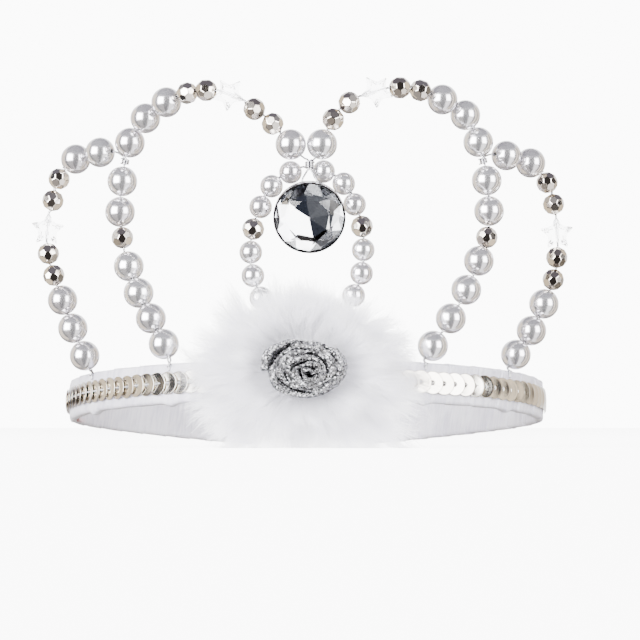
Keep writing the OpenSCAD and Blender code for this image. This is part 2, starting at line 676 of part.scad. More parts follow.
band();
sequins();
left_outer_wire();
left_outer_pearls();
left_outer_silver();
left_outer_star();
left_inner_wire();
left_inner_pearls();
left_inner_silver();
left_inner_star();
centre_wire();
centre_pearls();
centre_silver();
right_inner_wire();
right_inner_pearls();
right_inner_silver();
right_inner_star();
right_outer_wire();
right_outer_pearls();
right_outer_silver();
right_outer_star();
left_joint();
right_joint();
crossing();
gem_loop();
gem_setting();
gem();
rose();
fluff();
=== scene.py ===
"""Looks of a mini crown headband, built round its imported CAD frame.

A band wound with satin ribbon carries five strings of beads on wire, a hanging cut stone, a row of cupped
sequins, and a glitter ribbon rose on a tuft of marabou. Pieces are worked out in the band's own frame, in
millimetres: X to the right, Y back from the front of the band's outer face, Z up from its lower edge. Rest
then leans them back onto the floor and turns them into metres, where the CAD nodes are.
"""
from __future__ import annotations

import logging
import math
from dataclasses import dataclass, field
from enum import Enum
from typing import Callable, Sequence, Union

import bmesh
import bpy
import numpy as np
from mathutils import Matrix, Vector


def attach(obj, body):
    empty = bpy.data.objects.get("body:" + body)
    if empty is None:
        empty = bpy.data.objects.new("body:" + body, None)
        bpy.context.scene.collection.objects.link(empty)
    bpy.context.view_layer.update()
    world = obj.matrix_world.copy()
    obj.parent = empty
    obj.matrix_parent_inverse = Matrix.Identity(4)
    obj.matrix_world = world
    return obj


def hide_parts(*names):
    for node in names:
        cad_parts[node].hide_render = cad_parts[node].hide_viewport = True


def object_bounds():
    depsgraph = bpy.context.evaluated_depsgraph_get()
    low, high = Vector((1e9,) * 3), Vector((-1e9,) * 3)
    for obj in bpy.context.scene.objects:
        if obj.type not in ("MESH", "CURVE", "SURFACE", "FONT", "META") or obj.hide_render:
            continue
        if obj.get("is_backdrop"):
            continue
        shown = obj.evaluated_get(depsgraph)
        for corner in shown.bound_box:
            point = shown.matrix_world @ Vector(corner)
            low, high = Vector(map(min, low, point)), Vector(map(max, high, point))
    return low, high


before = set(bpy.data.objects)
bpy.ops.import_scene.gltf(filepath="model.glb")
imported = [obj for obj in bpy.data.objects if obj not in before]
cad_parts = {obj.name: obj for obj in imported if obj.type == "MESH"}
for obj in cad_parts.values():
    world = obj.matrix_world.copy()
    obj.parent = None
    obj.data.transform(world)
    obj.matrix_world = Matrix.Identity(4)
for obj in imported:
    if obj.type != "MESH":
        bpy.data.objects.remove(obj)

LOG = logging.getLogger("crown")
Colour = tuple[float, float, float]
Array = np.ndarray


# Numbers, ways and fine noise

def unit(v: Array) -> Array:
    """The vectors of v, each divided by its length."""
    return v / np.maximum(np.linalg.norm(v, axis=-1, keepdims=True), 1e-12)


def turn_about_x(degrees: float) -> Array:
    """The matrix that turns a point about +X."""
    c, s = math.cos(math.radians(degrees)), math.sin(math.radians(degrees))
    return np.array([[1, 0, 0], [0, c, -s], [0, s, c]])


def turns_about_z(angles: Array) -> Array:
    """Matrices that turn points by each angle, in radians, about +Z."""
    c, s = np.cos(angles), np.sin(angles)
    o = np.zeros(len(angles))
    return np.stack([np.stack([c, -s, o], -1), np.stack([s, c, o], -1), np.stack([o, o, o + 1], -1)],
                    axis=-2)


def aimed(ways: Array) -> Array:
    """Matrices that turn +Z to lie along each way, with +X kept level.

    Args:
        ways: directions, one to a row.

    Returns:
        One matrix for each way: u is Y crossed with the way, v is the way crossed with u.
    """
    w = unit(ways)
    u = unit(np.cross([0.0, 1.0, 0.0], w))
    return np.stack([u, np.cross(w, u), w], axis=-1)


def ripple(points: Array, size: float, seed: int, octaves: int = 3) -> Array:
    """Smooth noise from -1 to 1 at each point.

    Each octave is a sum of six sine waves in random directions, with half the last octave's size and
    height.

    Args:
        points: places, in the unit of size.
        size: length of the largest waves.
        seed: which noise.
        octaves: how many sizes of wave.

    Returns:
        One number for each point.
    """
    rng = np.random.default_rng(seed)
    total = np.zeros(points.shape[:-1])
    for octave in range(octaves):
        ways = unit(rng.normal(size=(6, points.shape[-1]))) * 2 * np.pi * 2 ** octave / size
        waves = np.sin(points @ ways.T + rng.uniform(0, 2 * np.pi, 6))
        total += waves.mean(axis=-1) * 0.5 ** octave
    return total


def step(low: float, high: float, x: Array) -> Array:
    """A smooth rise from 0 at low to 1 at high."""
    t = np.clip((x - low) / (high - low), 0, 1)
    return t * t * (3 - 2 * t)


# Surfaces

@dataclass
class Surface:
    """Points, faces, a UV for each face's corners, and a tone for each point that tints it; on the tuft and
    the rose the tint is painted shade, on the stone's foil painted reflection.
    """

    points: Array
    faces: list[Array]
    uvs: list[Array]
    tones: Array

    @classmethod
    def grid(cls, points: Array, close_rows: bool = False, close_columns: bool = False,
             cap_rows: bool = False, tone: float = 0.5, runs: tuple[Array, Array] | None = None
             ) -> "Surface":
        """A sheet of four-sided faces over a grid of points.

        Args:
            points: rows x columns x 3. With the columns running anticlockwise as seen from ahead of the
                rows' way, a tube's faces look outwards.
            close_rows: joins the last row to the first.
            close_columns: joins the last column to the first.
            cap_rows: closes the first and last rows with a point in their middle.
            tone: the tone of every point.
            runs: where each column and each row is on the UV map, with one number more on a closed side.
                Without it the map runs from 0 to 1 along each side of the grid.

        Returns:
            The surface, its U running across the columns and its V along the rows.
        """
        rows, columns = points.shape[:2]
        i = np.arange(rows if close_rows else rows - 1)[:, None]
        j = np.arange(columns if close_columns else columns - 1)[None, :]
        i, j = np.broadcast_arrays(i, j)
        i, j = i.ravel(), j.ravel()
        corner_i = np.stack([i, i, i + 1, i + 1], axis=1)
        corner_j = np.stack([j, j + 1, j + 1, j], axis=1)
        quads = (corner_i % rows) * columns + corner_j % columns
        across, along = runs or (np.linspace(0, 1, columns + close_columns),
                                 np.linspace(0, 1, rows + close_rows))
        uv = np.stack([across[corner_j], along[corner_i]], axis=-1)
        flat = points.reshape(-1, 3)
        faces, uvs = [quads], [uv]
        if cap_rows:
            middles = points[[0, -1]].mean(axis=1)
            j = np.arange(columns)
            k = (j + 1) % columns
            last = (rows - 1) * columns
            fans = (np.stack([np.full(columns, len(flat)), k, j], axis=1),
                    np.stack([np.full(columns, len(flat) + 1), last + j, last + k], axis=1))
            flat = np.concatenate([flat, middles])
            for fan, v in zip(fans, along[[0, -1]]):
                faces.append(fan)
                uvs.append(np.stack([across[np.stack([j, j + 1, j], axis=1)],
                                     np.full((columns, 3), v)], axis=-1))
        return cls(flat, faces, uvs, np.full(len(flat), float(tone)))

    @classmethod
    def join(cls, parts: Sequence["Surface"]) -> "Surface":
        """One surface that holds all the parts."""
        starts = np.cumsum([0] + [len(p.points) for p in parts])
        faces = [f + start for p, start in zip(parts, starts) for f in p.faces]
        uvs = [uv for p in parts for uv in p.uvs]
        return cls(np.concatenate([p.points for p in parts]), faces, uvs,
                   np.concatenate([p.tones for p in parts]))

    def repeated(self, turns: Array, middles: Array, tones: Array) -> "Surface":
        """Copies of the surface, each turned, then moved to its middle and given its tone.

        Args:
            turns: one 3 x 3 matrix for each copy.
            middles: where each copy's origin goes.
            tones: one tone for each copy.

        Returns:
            All the copies as one surface.
        """
        count, size = len(middles), len(self.points)
        points = np.einsum("nij,pj->npi", turns, self.points) + middles[:, None, :]
        shift = np.arange(count) * size
        faces = [(f[None] + shift[:, None, None]).reshape(-1, f.shape[1]) for f in self.faces]
        uvs = [np.tile(uv, (count, 1, 1)) for uv in self.uvs]
        return Surface(points.reshape(-1, 3), faces, uvs, np.repeat(tones, size))

    def moved(self, change: Callable[[Array], Array]) -> "Surface":
        """The same surface with its points changed."""
        return Surface(change(self.points), self.faces, self.uvs, self.tones)

    def triangles(self) -> int:
        """How many triangles the surface has."""
        return sum(len(f) * (f.shape[1] - 2) for f in self.faces)


def revolved(profile: Array, sides: int) -> Surface:
    """A closed profile carried round +Z.

    Args:
        profile: radius and height of each point, going round the solid's section so that its outside is
            on the right, with the last point joined to the first.
        sides: how many steps round.

    Returns:
        A ring-shaped surface: each point is (r cos a, r sin a, z).
    """
    a = 2 * np.pi * np.arange(sides) / sides
    r, z = profile[:, 0][:, None], profile[:, 1][:, None]
    points = np.stack([r * np.cos(a), r * np.sin(a), np.broadcast_to(z, (len(profile), sides))], axis=-1)
    return Surface.grid(points, close_rows=True, close_columns=True)


def tube(path: Array, radius: Union[float, Array], sides: int = 10, lean: Sequence[float] = (0.2, 1, 0.1)
         ) -> Surface:
    """A round tube along a path, closed at both ends.

    Args:
        path: points in order.
        radius: one radius, or one for each point.
        sides: steps round the tube.
        lean: a direction that the path never runs along. Each ring's u is what is left of it square to
            the path, and v is the path's way crossed with u.

    Returns:
        The tube: each ring's points are the path's point plus radius times (u cos a + v sin a).
    """
    ways = unit(np.gradient(path, axis=0))
    u = unit(np.asarray(lean) - (ways @ np.asarray(lean))[:, None] * ways)
    v = np.cross(ways, u)
    a = (2 * np.pi * np.arange(sides) / sides)[None, :, None]
    r = np.broadcast_to(np.asarray(radius, float), (len(path),))[:, None, None]
    rings = path[:, None, :] + r * (np.cos(a) * u[:, None, :] + np.sin(a) * v[:, None, :])
    return Surface.grid(rings, close_columns=True, cap_rows=True)


def smooth_path(points: Sequence[Sequence[float]], steps: int = 8) -> Array:
    """A smooth path through points: Catmull and Rom's cubic between each two, their ends doubled."""
    p = np.asarray(points, float)
    n = len(p) - 1
    i = np.repeat(np.arange(n), steps)
    t = np.tile(np.arange(steps) / steps, n)[:, None]
    a, b, c, d = p[np.maximum(i - 1, 0)], p[i], p[i + 1], p[np.minimum(i + 2, n)]
    inner = 0.5 * (2 * b + (c - a) * t + (2 * a - 5 * b + 4 * c - d) * t ** 2
                   + (3 * b - 3 * c + d - a) * t ** 3)
    return np.concatenate([inner, p[-1:]])


# The headband's own sizes and frame

@dataclass(frozen=True)
class Sizes:
    """Sizes that several pieces share, in millimetres and degrees, as in the part's source."""

    band_w: float = 130
    front_depth: float = 56
    arm_depth: float = 69
    tip_gap: float = 29
    strip_h: float = 10.6
    strip_t: float = 2.4
    wrap_pitch: float = 9.6
    sequin_d: float = 6
    sequin_pitch: float = 3.4
    pearl_d: float = 8
    small_pearl_d: float = 6
    silver_d: float = 5.9
    star_r: float = 4.8
    star_notch_r: float = 2.5
    star_t: float = 4
    hole_d: float = 1.2
    wire_d: float = 0.5
    bead_gap: float = 0.2
    joint_gap: float = 2.1
    bare_gap: float = 1
    cross_gap: float = 2.4
    clear: float = 0.1
    rose_w: float = 21.5
    rose_h: float = 16
    rose_depth: float = 8
    rose_back: float = 2.9
    fluff_reach: float = 32
    fluff_rise: float = 22
    fluff_drop: float = 13
    fluff_out: float = 4

    @property
    def mid_z(self) -> float:
        """Height of the middle of the rose and of the tuft."""
        return 0.7 * self.strip_h

    @property
    def tip_y(self) -> float:
        """How far back the tips are."""
        return self.front_depth + self.arm_depth


SIZES = Sizes()


@dataclass(frozen=True)
class Rest:
    """How the headband leans back on the floor: its tips and the lowest locks of the tuft touch it."""

    middle_x: float
    tilt: float = math.degrees(math.atan(SIZES.fluff_drop / (SIZES.tip_y + SIZES.fluff_out)))

    def placed(self, points: Array) -> Array:
        """Points of the band's frame, in millimetres, as points of the row frame, in metres."""
        a = math.radians(self.tilt)
        front = -(SIZES.rose_back + SIZES.rose_depth) * math.cos(a) + SIZES.mid_z * math.sin(a)
        back = SIZES.tip_y * math.cos(a) + SIZES.strip_h * math.sin(a)
        shift = np.array([-self.middle_x, -(front + back) / 2, SIZES.tip_y * math.sin(a)])
        return (points @ turn_about_x(-self.tilt).T + shift) / 1000


class BandPlan:
    """The plan of the band's outer face: half an ellipse's front, then one curve for each arm."""

    STEPS = 24

    def __init__(self) -> None:
        """Lays out the right half and the distance along it of each of its points."""
        s, half = SIZES, SIZES.band_w / 2
        a = np.radians(90 * np.arange(self.STEPS + 1) / self.STEPS)
        front = np.stack([half * np.sin(a), s.front_depth * (1 - np.cos(a))], axis=1)
        t = (np.arange(1, self.STEPS + 1) / self.STEPS)[:, None]
        tip = np.array([s.tip_gap / 2 + 0.7 * s.strip_t, s.tip_y])
        p0, p1 = np.array([half, s.front_depth]), np.array([half, s.front_depth + 0.26 * s.arm_depth])
        p2 = np.array([tip[0] + 0.5 * (half - tip[0]), s.tip_y - 0.37 * s.arm_depth])
        arm = (1 - t) ** 3 * p0 + 3 * t * (1 - t) ** 2 * p1 + 3 * t * t * (1 - t) * p2 + t ** 3 * tip
        self.path = np.concatenate([front, arm])
        lengths = np.linalg.norm(np.diff(self.path, axis=0), axis=1)
        self.runs = np.concatenate([[0], np.cumsum(lengths)])
        self.half_run = float(self.runs[-1])
        self.widest_run = float(self.runs[self.STEPS])

    def point(self, s: Array) -> Array:
        """The plan's points at distances s along it from the front centre, left negative."""
        x = np.sign(s) * np.interp(np.abs(s), self.runs, self.path[:, 0])
        return np.stack([x, np.interp(np.abs(s), self.runs, self.path[:, 1])], axis=-1)

    def along(self, s: Array) -> Array:
        """The way that the band runs at s."""
        return unit(self.point(np.minimum(s + 0.5, self.half_run))
                    - self.point(np.maximum(s - 0.5, -self.half_run)))

    def on_band(self, s: Array, out: Array, z: Array) -> Array:
        """Points s along the band, out outside its outer face, at height z."""
        s, out, z = np.broadcast_arrays(np.asarray(s, float), out, z)
        d = self.along(s)
        p = self.point(s) + out[..., None] * np.stack([d[..., 1], -d[..., 0]], axis=-1)
        return np.concatenate([p, z[..., None].astype(float)], axis=-1)

    def run_at(self, x: Array) -> Array:
        """How far along the front of the band a sideways place x is."""
        return np.sign(x) * np.interp(np.abs(x), self.path[:self.STEPS + 1, 0],
                                      self.runs[:self.STEPS + 1])


PLAN = BandPlan()


# Shader expressions

class Signal:
    """A socket of a material, with the sums that expressions on it need."""

    def __init__(self, board: "Board", socket: bpy.types.NodeSocket) -> None:
        """Keeps the socket and the board that its nodes go on."""
        self.board, self.socket = board, socket

    def _math(self, operation: str, *values: Union["Signal", float]) -> "Signal":
        """A Math node on the values."""
        return self.board.node("ShaderNodeMath", {"operation": operation}, dict(enumerate(values)))

    def __add__(self, other: Union["Signal", float]) -> "Signal":
        """self + other."""
        return self._math("ADD", self, other)

    def __sub__(self, other: Union["Signal", float]) -> "Signal":
        """self - other."""
        return self._math("SUBTRACT", self, other)

    def __rsub__(self, other: float) -> "Signal":
        """other - self."""
        return self._math("SUBTRACT", other, self)

    def __mul__(self, other: Union["Signal", float]) -> "Signal":
        """self * other."""
        return self._math("MULTIPLY", self, other)

    def sine(self) -> "Signal":
        """The sine of the value."""
        return self._math("SINE", self)

    def size(self) -> "Signal":
        """The value without its sign."""
        return self._math("ABSOLUTE", self)

    def root(self) -> "Signal":
        """The square root of the value."""
        return self._math("SQRT", self)

    def rise(self, low: float, high: float) -> "Signal":
        """A smooth step from 0 at low to 1 at high."""
        return self.board.node("ShaderNodeMapRange", {"interpolation_type": "SMOOTHSTEP"},
                               {0: self, 1: low, 2: high})

    def between(self, low: Colour, high: Colour) -> "Signal":
        """The colour that runs from low to high as the value goes from 0 to 1."""
        return self.board.blend(self, low, high)


Value = Union[Signal, float, Colour]


class Board:
    """The node tree of one material."""

    def __init__(self, tree: bpy.types.NodeTree) -> None:
        """Clears the tree."""
        self.tree = tree
        tree.nodes.clear()

    def node(self, kind: str, settings: dict[str, object] | None = None,
             inputs: dict[Union[int, str], Value] | None = None, output: Union[int, str] = 0) -> Signal:
        """Adds any node.

        Args:
            kind: the node's type.
            settings: its properties, set before its sockets.
            inputs: values or signals by the socket's name or number.
            output: which of its outputs to hand back.

        Returns:
            The output as a signal.
        """
        made = self.tree.nodes.new(kind)
        for name, value in (settings or {}).items():
            setattr(made, name, value)
        for name, value in (inputs or {}).items():
            socket = made.inputs[name]
            if isinstance(value, Signal):
                self.tree.links.new(value.socket, socket)
            elif isinstance(value, tuple) and len(value) == 3 and socket.type == "RGBA":
                socket.default_value = (*value, 1)
            else:
                socket.default_value = value
        return Signal(self, made.outputs[output] if len(made.outputs) else None)

    def blend(self, share: Value, low: Value, high: Value) -> Signal:
        """A colour between low and high."""
        return self.node("ShaderNodeMix", {"data_type": "RGBA"}, {0: share, 6: low, 7: high}, output=2)

    def place(self) -> Signal:
        """The point of the surface in the row frame, in metres."""
        return self.node("ShaderNodeTexCoord", output="Object")

    def uv(self) -> tuple[Signal, Signal]:
        """The two numbers of the piece's own UV map."""
        apart = self.node("ShaderNodeTexCoord", output="UV")
        split = self.node("ShaderNodeSeparateXYZ", inputs={0: apart}, output=0)
        return split, Signal(self, split.socket.node.outputs[1])

    def tone(self) -> Signal:
        """The tone that the mesh gives each point."""
        return self.node("ShaderNodeAttribute", {"attribute_name": "tone"}, output="Fac")

    def noise(self, size: float, detail: float = 2, at: Signal | None = None, rough: float = 0.5) -> Signal:
        """Soft noise from 0 to 1 whose lumps are about size metres across."""
        return self.node("ShaderNodeTexNoise", {},
                         {"Vector": at or self.place(), "Scale": 1 / size, "Detail": detail,
                          "Roughness": rough})

    def bump(self, height: Signal, depth: float, strength: float = 1, under: Signal | None = None) -> Signal:
        """A normal tilted as if height, from 0 to 1, were depth metres deep."""
        inputs: dict[Union[int, str], Value] = {"Height": height, "Distance": depth, "Strength": strength}
        if under is not None:
            inputs["Normal"] = under
        return self.node("ShaderNodeBump", {}, inputs)

    def surface(self, **values: Value) -> Signal:
        """The Principled shader, with its sockets' names written with _ for a space."""
        return self.node("ShaderNodeBsdfPrincipled", {},
                         {name.replace("_", " "): value for name, value in values.items()})

    def show(self, shader: Signal) -> None:
        """Makes the shader the material's surface."""
        self.node("ShaderNodeOutputMaterial", {}, {"Surface": shader})


@dataclass(frozen=True)
class Finish:
    """A finish: a frozen set of values and the nodes that it makes of them."""

    name: str

    def dress(self, board: Board) -> None:
        """Makes the finish's nodes."""
        raise NotImplementedError

    def material(self) -> bpy.types.Material:
        """The finish's material, made once."""
        found = bpy.data.materials.get(self.name)
        if found is None:
            found = bpy.data.materials.new(self.name)
            found.use_nodes = True
            self.dress(Board(found.node_tree))
        return found


@dataclass(frozen=True)
class Satin(Finish):
    """Off-white satin ribbon wound slantwise, in which a slit shows the red of the core."""

    name: str = "satin_ribbon"
    # light is the cloth on the folds' crests; shade is painted shade in the folds' hollows
    light: Colour = (0.82, 0.81, 0.885)
    shade: Colour = (0.62, 0.605, 0.71)
    slit: Colour = (0.24, 0.006, 0.012)
    flush: Colour = (0.80, 0.42, 0.42)
    # Where along the band the slit begins, is open, begins to close and ends
    slit_run: tuple[float, float, float, float] = (-106.0, -94.0, -80.0, -68.0)
    slit_edge: float = 7.3
    slit_half: float = 0.55
    warp_pitch: float = 0.3
    weft_pitch: float = 0.16

    def dress(self, board: Board) -> None:
        """The map is in millimetres: V along the band, and U round it from the outer face's middle down.

        The weave's fine lines run along the ribbon, and longer streaks follow its folds. The colour is
        painted shade in the hollows of the streaks, mixed with random tone from a cloud. The slit opens on
        the lower inner edge of the left arm and is widest in its middle.
        """
        around, along = board.uv()
        cloth = board.node("ShaderNodeCombineXYZ", {}, {0: along * 0.9, 1: around * 0.14})
        streak = board.node("ShaderNodeTexNoise", {}, {"Vector": cloth, "Scale": 1.0, "Detail": 3.0})
        cloud = board.noise(0.009, 2)
        # From painted shade to light by the fold streaks, which also bump the cloth, and by a random cloud
        # of tone
        colour = (streak * 0.55 + cloud * 0.45).rise(0.36, 0.62).between(self.shade, self.light)
        weft = (along * (2 * math.pi / self.weft_pitch)).sine() * 0.4
        weave = weft + (around * (2 * math.pi / self.warp_pitch)).sine() * 0.1 + 0.5
        low, full, ebb, high = self.slit_run
        open_share = along.rise(low, full) * (1.0 - along.rise(ebb, high))
        off = around - (streak * 0.5 + (self.slit_edge - 0.25))
        red = (open_share * self.slit_half - off.size()).rise(-0.05, 0.05) * open_share
        pink = open_share.root() * (1.0 - (off - 0.55).size().rise(0.1, 0.8)) * 0.6
        colour = board.blend(red, board.blend(pink, colour, self.flush), self.slit)
        normal = board.bump(weave, 0.00002, 0.5, board.bump(streak, 0.0003, 0.7))
        board.show(board.surface(
            Base_Color=colour, Roughness=streak * 0.14 + 0.34, Normal=normal, Sheen_Weight=0.35,
            Sheen_Roughness=0.4, Specular_IOR_Level=0.55))


@dataclass(frozen=True)
class Pearl(Finish):
    """Pearl lacquer on a plastic bead."""

    name: str = "pearl_lacquer"
    light: Colour = (0.88, 0.875, 0.895)
    blush: Colour = (0.81, 0.785, 0.815)

    def dress(self, board: Board) -> None:
        """Half mirror, half white: cloudy lacquer whose colour leans a little from bead to bead."""
        cloud = board.noise(0.0026, 2)
        colour = (cloud * 0.6 + board.tone() * 0.4).rise(0.25, 0.75).between(self.blush, self.light)
        orange_peel = board.noise(0.0007, 2)
        board.show(board.surface(
            Base_Color=colour, Roughness=cloud * 0.08 + 0.15, Metallic=0.86, Coat_Weight=0.6,
            Coat_Roughness=0.06, Normal=board.bump(orange_peel, 0.00001, 0.2)))


@dataclass(frozen=True)
class Mirror(Finish):
    """Plated metal: colour from dark to light by each bead's tone, and fine scratches."""

    name: str = "plated"
    light: Colour = (0.86, 0.82, 0.76)
    dark: Colour = (0.60, 0.54, 0.47)
    rough: float = 0.07
    scratch: float = 0.00025

    def dress(self, board: Board) -> None:
        """Metal with a breath of tarnish and scratches."""
        smear = board.noise(0.0012, 3)
        lines = board.noise(self.scratch, 4, rough=0.7)
        colour = (board.tone() * 0.75 + smear * 0.25).between(self.dark, self.light)
        board.show(board.surface(
            Base_Color=colour, Metallic=1.0, Roughness=smear * 0.06 + self.rough,
            Normal=board.bump(lines, 0.000006, 0.4)))


@dataclass(frozen=True)
class Clear(Finish):
    """Clear acrylic."""

    name: str = "clear_acrylic"
    tint: Colour = (0.985, 0.988, 0.995)
    bend: float = 1.36

    def dress(self, board: Board) -> None:
        """Polished acrylic with faint moulding haze."""
        haze = board.noise(0.0016, 2)
        board.show(board.surface(
            Base_Color=self.tint, Roughness=haze.rise(0.5, 0.8) * 0.05, Transmission_Weight=1.0,
            IOR=self.bend))


@dataclass(frozen=True)
class Sequin(Finish):
    """Metallised film, pressed into a shallow cup."""

    name: str = "sequin_film"
    light: Colour = (0.90, 0.86, 0.78)
    dark: Colour = (0.55, 0.50, 0.43)
    spokes: int = 46

    def dress(self, board: Board) -> None:
        """Fine spokes pressed into the film, and a darker worn rim."""
        u, v = board.uv()
        spokes = (u * (2 * math.pi * self.spokes)).sine() * 0.5 + 0.5
        grain = board.noise(0.0003, 2)
        rim = (v - 0.33).size().rise(0.10, 0.02)
        colour = board.blend(rim * 0.5, (board.tone() * 0.8 + grain * 0.2).between(self.dark, self.light),
                             self.dark)
        board.show(board.surface(
            Base_Color=colour, Metallic=1.0, Roughness=grain * 0.1 + 0.09,
            Normal=board.bump(spokes * 0.6 + grain * 0.4, 0.000012, 0.5), Coat_Weight=0.3,
            Coat_Roughness=0.05))


@dataclass(frozen=True)
class Glitter(Finish):
    """Silver lurex ribbon: crinkled flakes that each face their own way."""

    name: str = "silver_glitter"
    light: Colour = (0.46, 0.46, 0.475)
    dark: Colour = (0.13, 0.13, 0.135)
    flake: float = 0.00042
    flake_tilt: float = 1.5

    def dress(self, board: Board) -> None:
        """Each Voronoi cell is a flake: its random colour tilts its normal and sets its brightness. Painted
        shade darkens the crinkles' hollows and the ribbon low in the rose.
        """
        place = board.place()
        cells = board.node("ShaderNodeTexVoronoi", {}, {"Vector": place, "Scale": 1 / self.flake},
                           output="Color")
        random = board.node("ShaderNodeSeparateColor", {}, {0: cells})
        tilt = board.node("ShaderNodeVectorMath", {"operation": "SUBTRACT"}, {0: cells, 1: (0.5,) * 3})
        tilt = board.node("ShaderNodeVectorMath", {"operation": "SCALE"}, 
                          {0: tilt, "Scale": self.flake_tilt})
        fold = board.noise(0.0009, 3, rough=0.6)
        facing = board.bump(fold, 0.0003, 0.9)
        normal = board.node("ShaderNodeVectorMath", {"operation": "NORMALIZE"}, {0: board.node(
            "ShaderNodeVectorMath", {"operation": "ADD"}, {0: facing, 1: tilt})})
        # Random flake brightness, with painted shade in the crinkles' hollows and, by tone, low in the rose
        shade = (random * 0.6 + fold * 0.25 + board.tone() * 0.3).rise(0.28, 0.95)
        board.show(board.surface(
            Base_Color=shade.between(self.dark, self.light), Metallic=0.9,
            Roughness=random * 0.22 + 0.14, Normal=normal))


@dataclass(frozen=True)
class MarabouFinish(Finish):
    """White down, with painted shade at its roots."""

    name: str = "white_marabou"
    tip: Colour = (0.97, 0.97, 0.985)
    # root is painted shade at the roots; tip is the down's own white
    root: Colour = (0.93, 0.925, 0.955)
    through: float = 0.55

    def dress(self, board: Board) -> None:
        """Fine strands that light passes through, lighter towards their tips: painted shade at their roots.
        """
        cloud = board.noise(0.004, 2)
        colour = (board.tone() * 0.8 + cloud * 0.2).between(self.root, self.tip)
        hair = board.surface(Base_Color=colour, Roughness=cloud * 0.2 + 0.6, Sheen_Weight=0.2,
                             Specular_IOR_Level=0.2)
        lit = board.node("ShaderNodeBsdfTranslucent", {}, {"Color": colour})
        board.show(board.node("ShaderNodeMixShader", {}, {0: self.through, 1: hair, 2: lit}))


@dataclass(frozen=True)
class Thread(Finish):
    """White sewing thread of two twisted plies."""

    name: str = "white_thread"
    colour: Colour = (0.88, 0.88, 0.89)
    # Painted shade in the grooves between the plies
    groove: Colour = (0.74, 0.74, 0.76)

    def dress(self, board: Board) -> None:
        """Slanting plies along the thread, darker in the grooves between them: painted shade."""
        u, v = board.uv()
        ply = ((u + v * 14) * (4 * math.pi)).sine() * 0.5 + 0.5
        board.show(board.surface(
            Base_Color=ply.between(self.groove, self.colour), Roughness=ply * 0.2 + 0.5,
            Normal=board.bump(ply, 0.00003, 0.6), Sheen_Weight=0.2))


@dataclass(frozen=True)
class Foil(Finish):
    """The mirror coat behind the cut stone, its painted reflections bright to nearly black by each flat's
    tone.
    """

    name: str = "stone_foil_painted_reflections"
    # Painted reflections: bright for the studio's lights, dark for its dark gaps
    bright: Colour = (0.95, 0.96, 0.98)
    slate: Colour = (0.002, 0.0025, 0.004)

    def dress(self, board: Board) -> None:
        """Silvering, a little cloudy, its painted reflections set by tone."""
        cloud = board.noise(0.003, 2)
        board.show(board.surface(
            Base_Color=(board.tone() * (cloud * 0.3 + 0.85)).between(self.slate, self.bright),
            Metallic=1.0, Roughness=cloud * 0.03 + 0.01))


@dataclass(frozen=True)
class Ground(Finish):
    """Plain white studio floor."""

    name: str = "studio_floor"
    colour: Colour = (0.93, 0.93, 0.935)
    uneven: float = 0.985
    glow: float = 7.0

    def dress(self, board: Board) -> None:
        """Matte white with a breath of unevenness, lit from below like a light table."""
        cloud = board.noise(0.2, 2)
        board.show(board.surface(
            Base_Color=cloud.between(self.colour, tuple(self.uneven * c for c in self.colour)),
            Roughness=0.9, Emission_Color=(1.0, 1.0, 1.0, 1.0), Emission_Strength=self.glow))


# Making pieces

class Workshop:
    """Turns surfaces into pieces that ride on the headband's bodies."""

    def __init__(self, rest: Rest) -> None:
        """Keeps where the headband rests."""
        self.rest = rest

    def piece(self, name: str, surface: Surface, finish: Finish, body: str = "crown",
              replaces: Sequence[str] = (), smooth: bool = True, placed: bool = False) -> bpy.types.Object:
        """Makes a mesh object of a surface.

        Args:
            name: the piece's name.
            surface: its shape, in the band's frame and millimetres unless placed.
            finish: its finish.
            body: the CAD body that it rides on.
            replaces: the CAD nodes that it stands for.
            smooth: shades it smooth.
            placed: its points are in the row frame and metres already.

        Returns:
            The object, its place in its mesh.
        """
        points = surface.points if placed else self.rest.placed(surface.points)
        mesh = bpy.data.meshes.new(name)
        corners = np.concatenate([f.ravel() for f in surface.faces]).astype(np.int32)
        counts = np.concatenate([np.full(len(f), f.shape[1]) for f in surface.faces])
        starts = np.concatenate([[0], np.cumsum(counts)[:-1]]).astype(np.int32)
        mesh.vertices.add(len(points))
        mesh.vertices.foreach_set("co", points.astype(np.float32).ravel())
        mesh.loops.add(len(corners))
        mesh.loops.foreach_set("vertex_index", corners)
        mesh.polygons.add(len(counts))
        mesh.polygons.foreach_set("loop_start", starts)
        mesh.polygons.foreach_set("use_smooth", np.full(len(counts), smooth))
        layer = mesh.uv_layers.new(name="UVMap")
        flat_uv = np.concatenate([uv.reshape(-1, 2) for uv in surface.uvs]).astype(np.float32)
        layer.data.foreach_set("uv", flat_uv.ravel())
        tone = mesh.attributes.new("tone", "FLOAT", "POINT")
        tone.data.foreach_set("value", surface.tones.astype(np.float32))
        mesh.update(calc_edges=True)
        mesh.validate()
        mesh.materials.append(finish.material())
        made = bpy.data.objects.new(name, mesh)
        bpy.context.scene.collection.objects.link(made)
        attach(made, body)
        if replaces:
            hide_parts(*replaces)
        LOG.info("%s: %d triangles", name, surface.triangles())
        return made

    def dress_node(self, node: str, finish: Finish) -> None:
        """Gives a CAD node that keeps its shape a finish."""
        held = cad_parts[node]
        held.data.materials.clear()
        held.data.materials.append(finish.material())
        LOG.info("%s keeps its CAD shape", node)


# The satin band

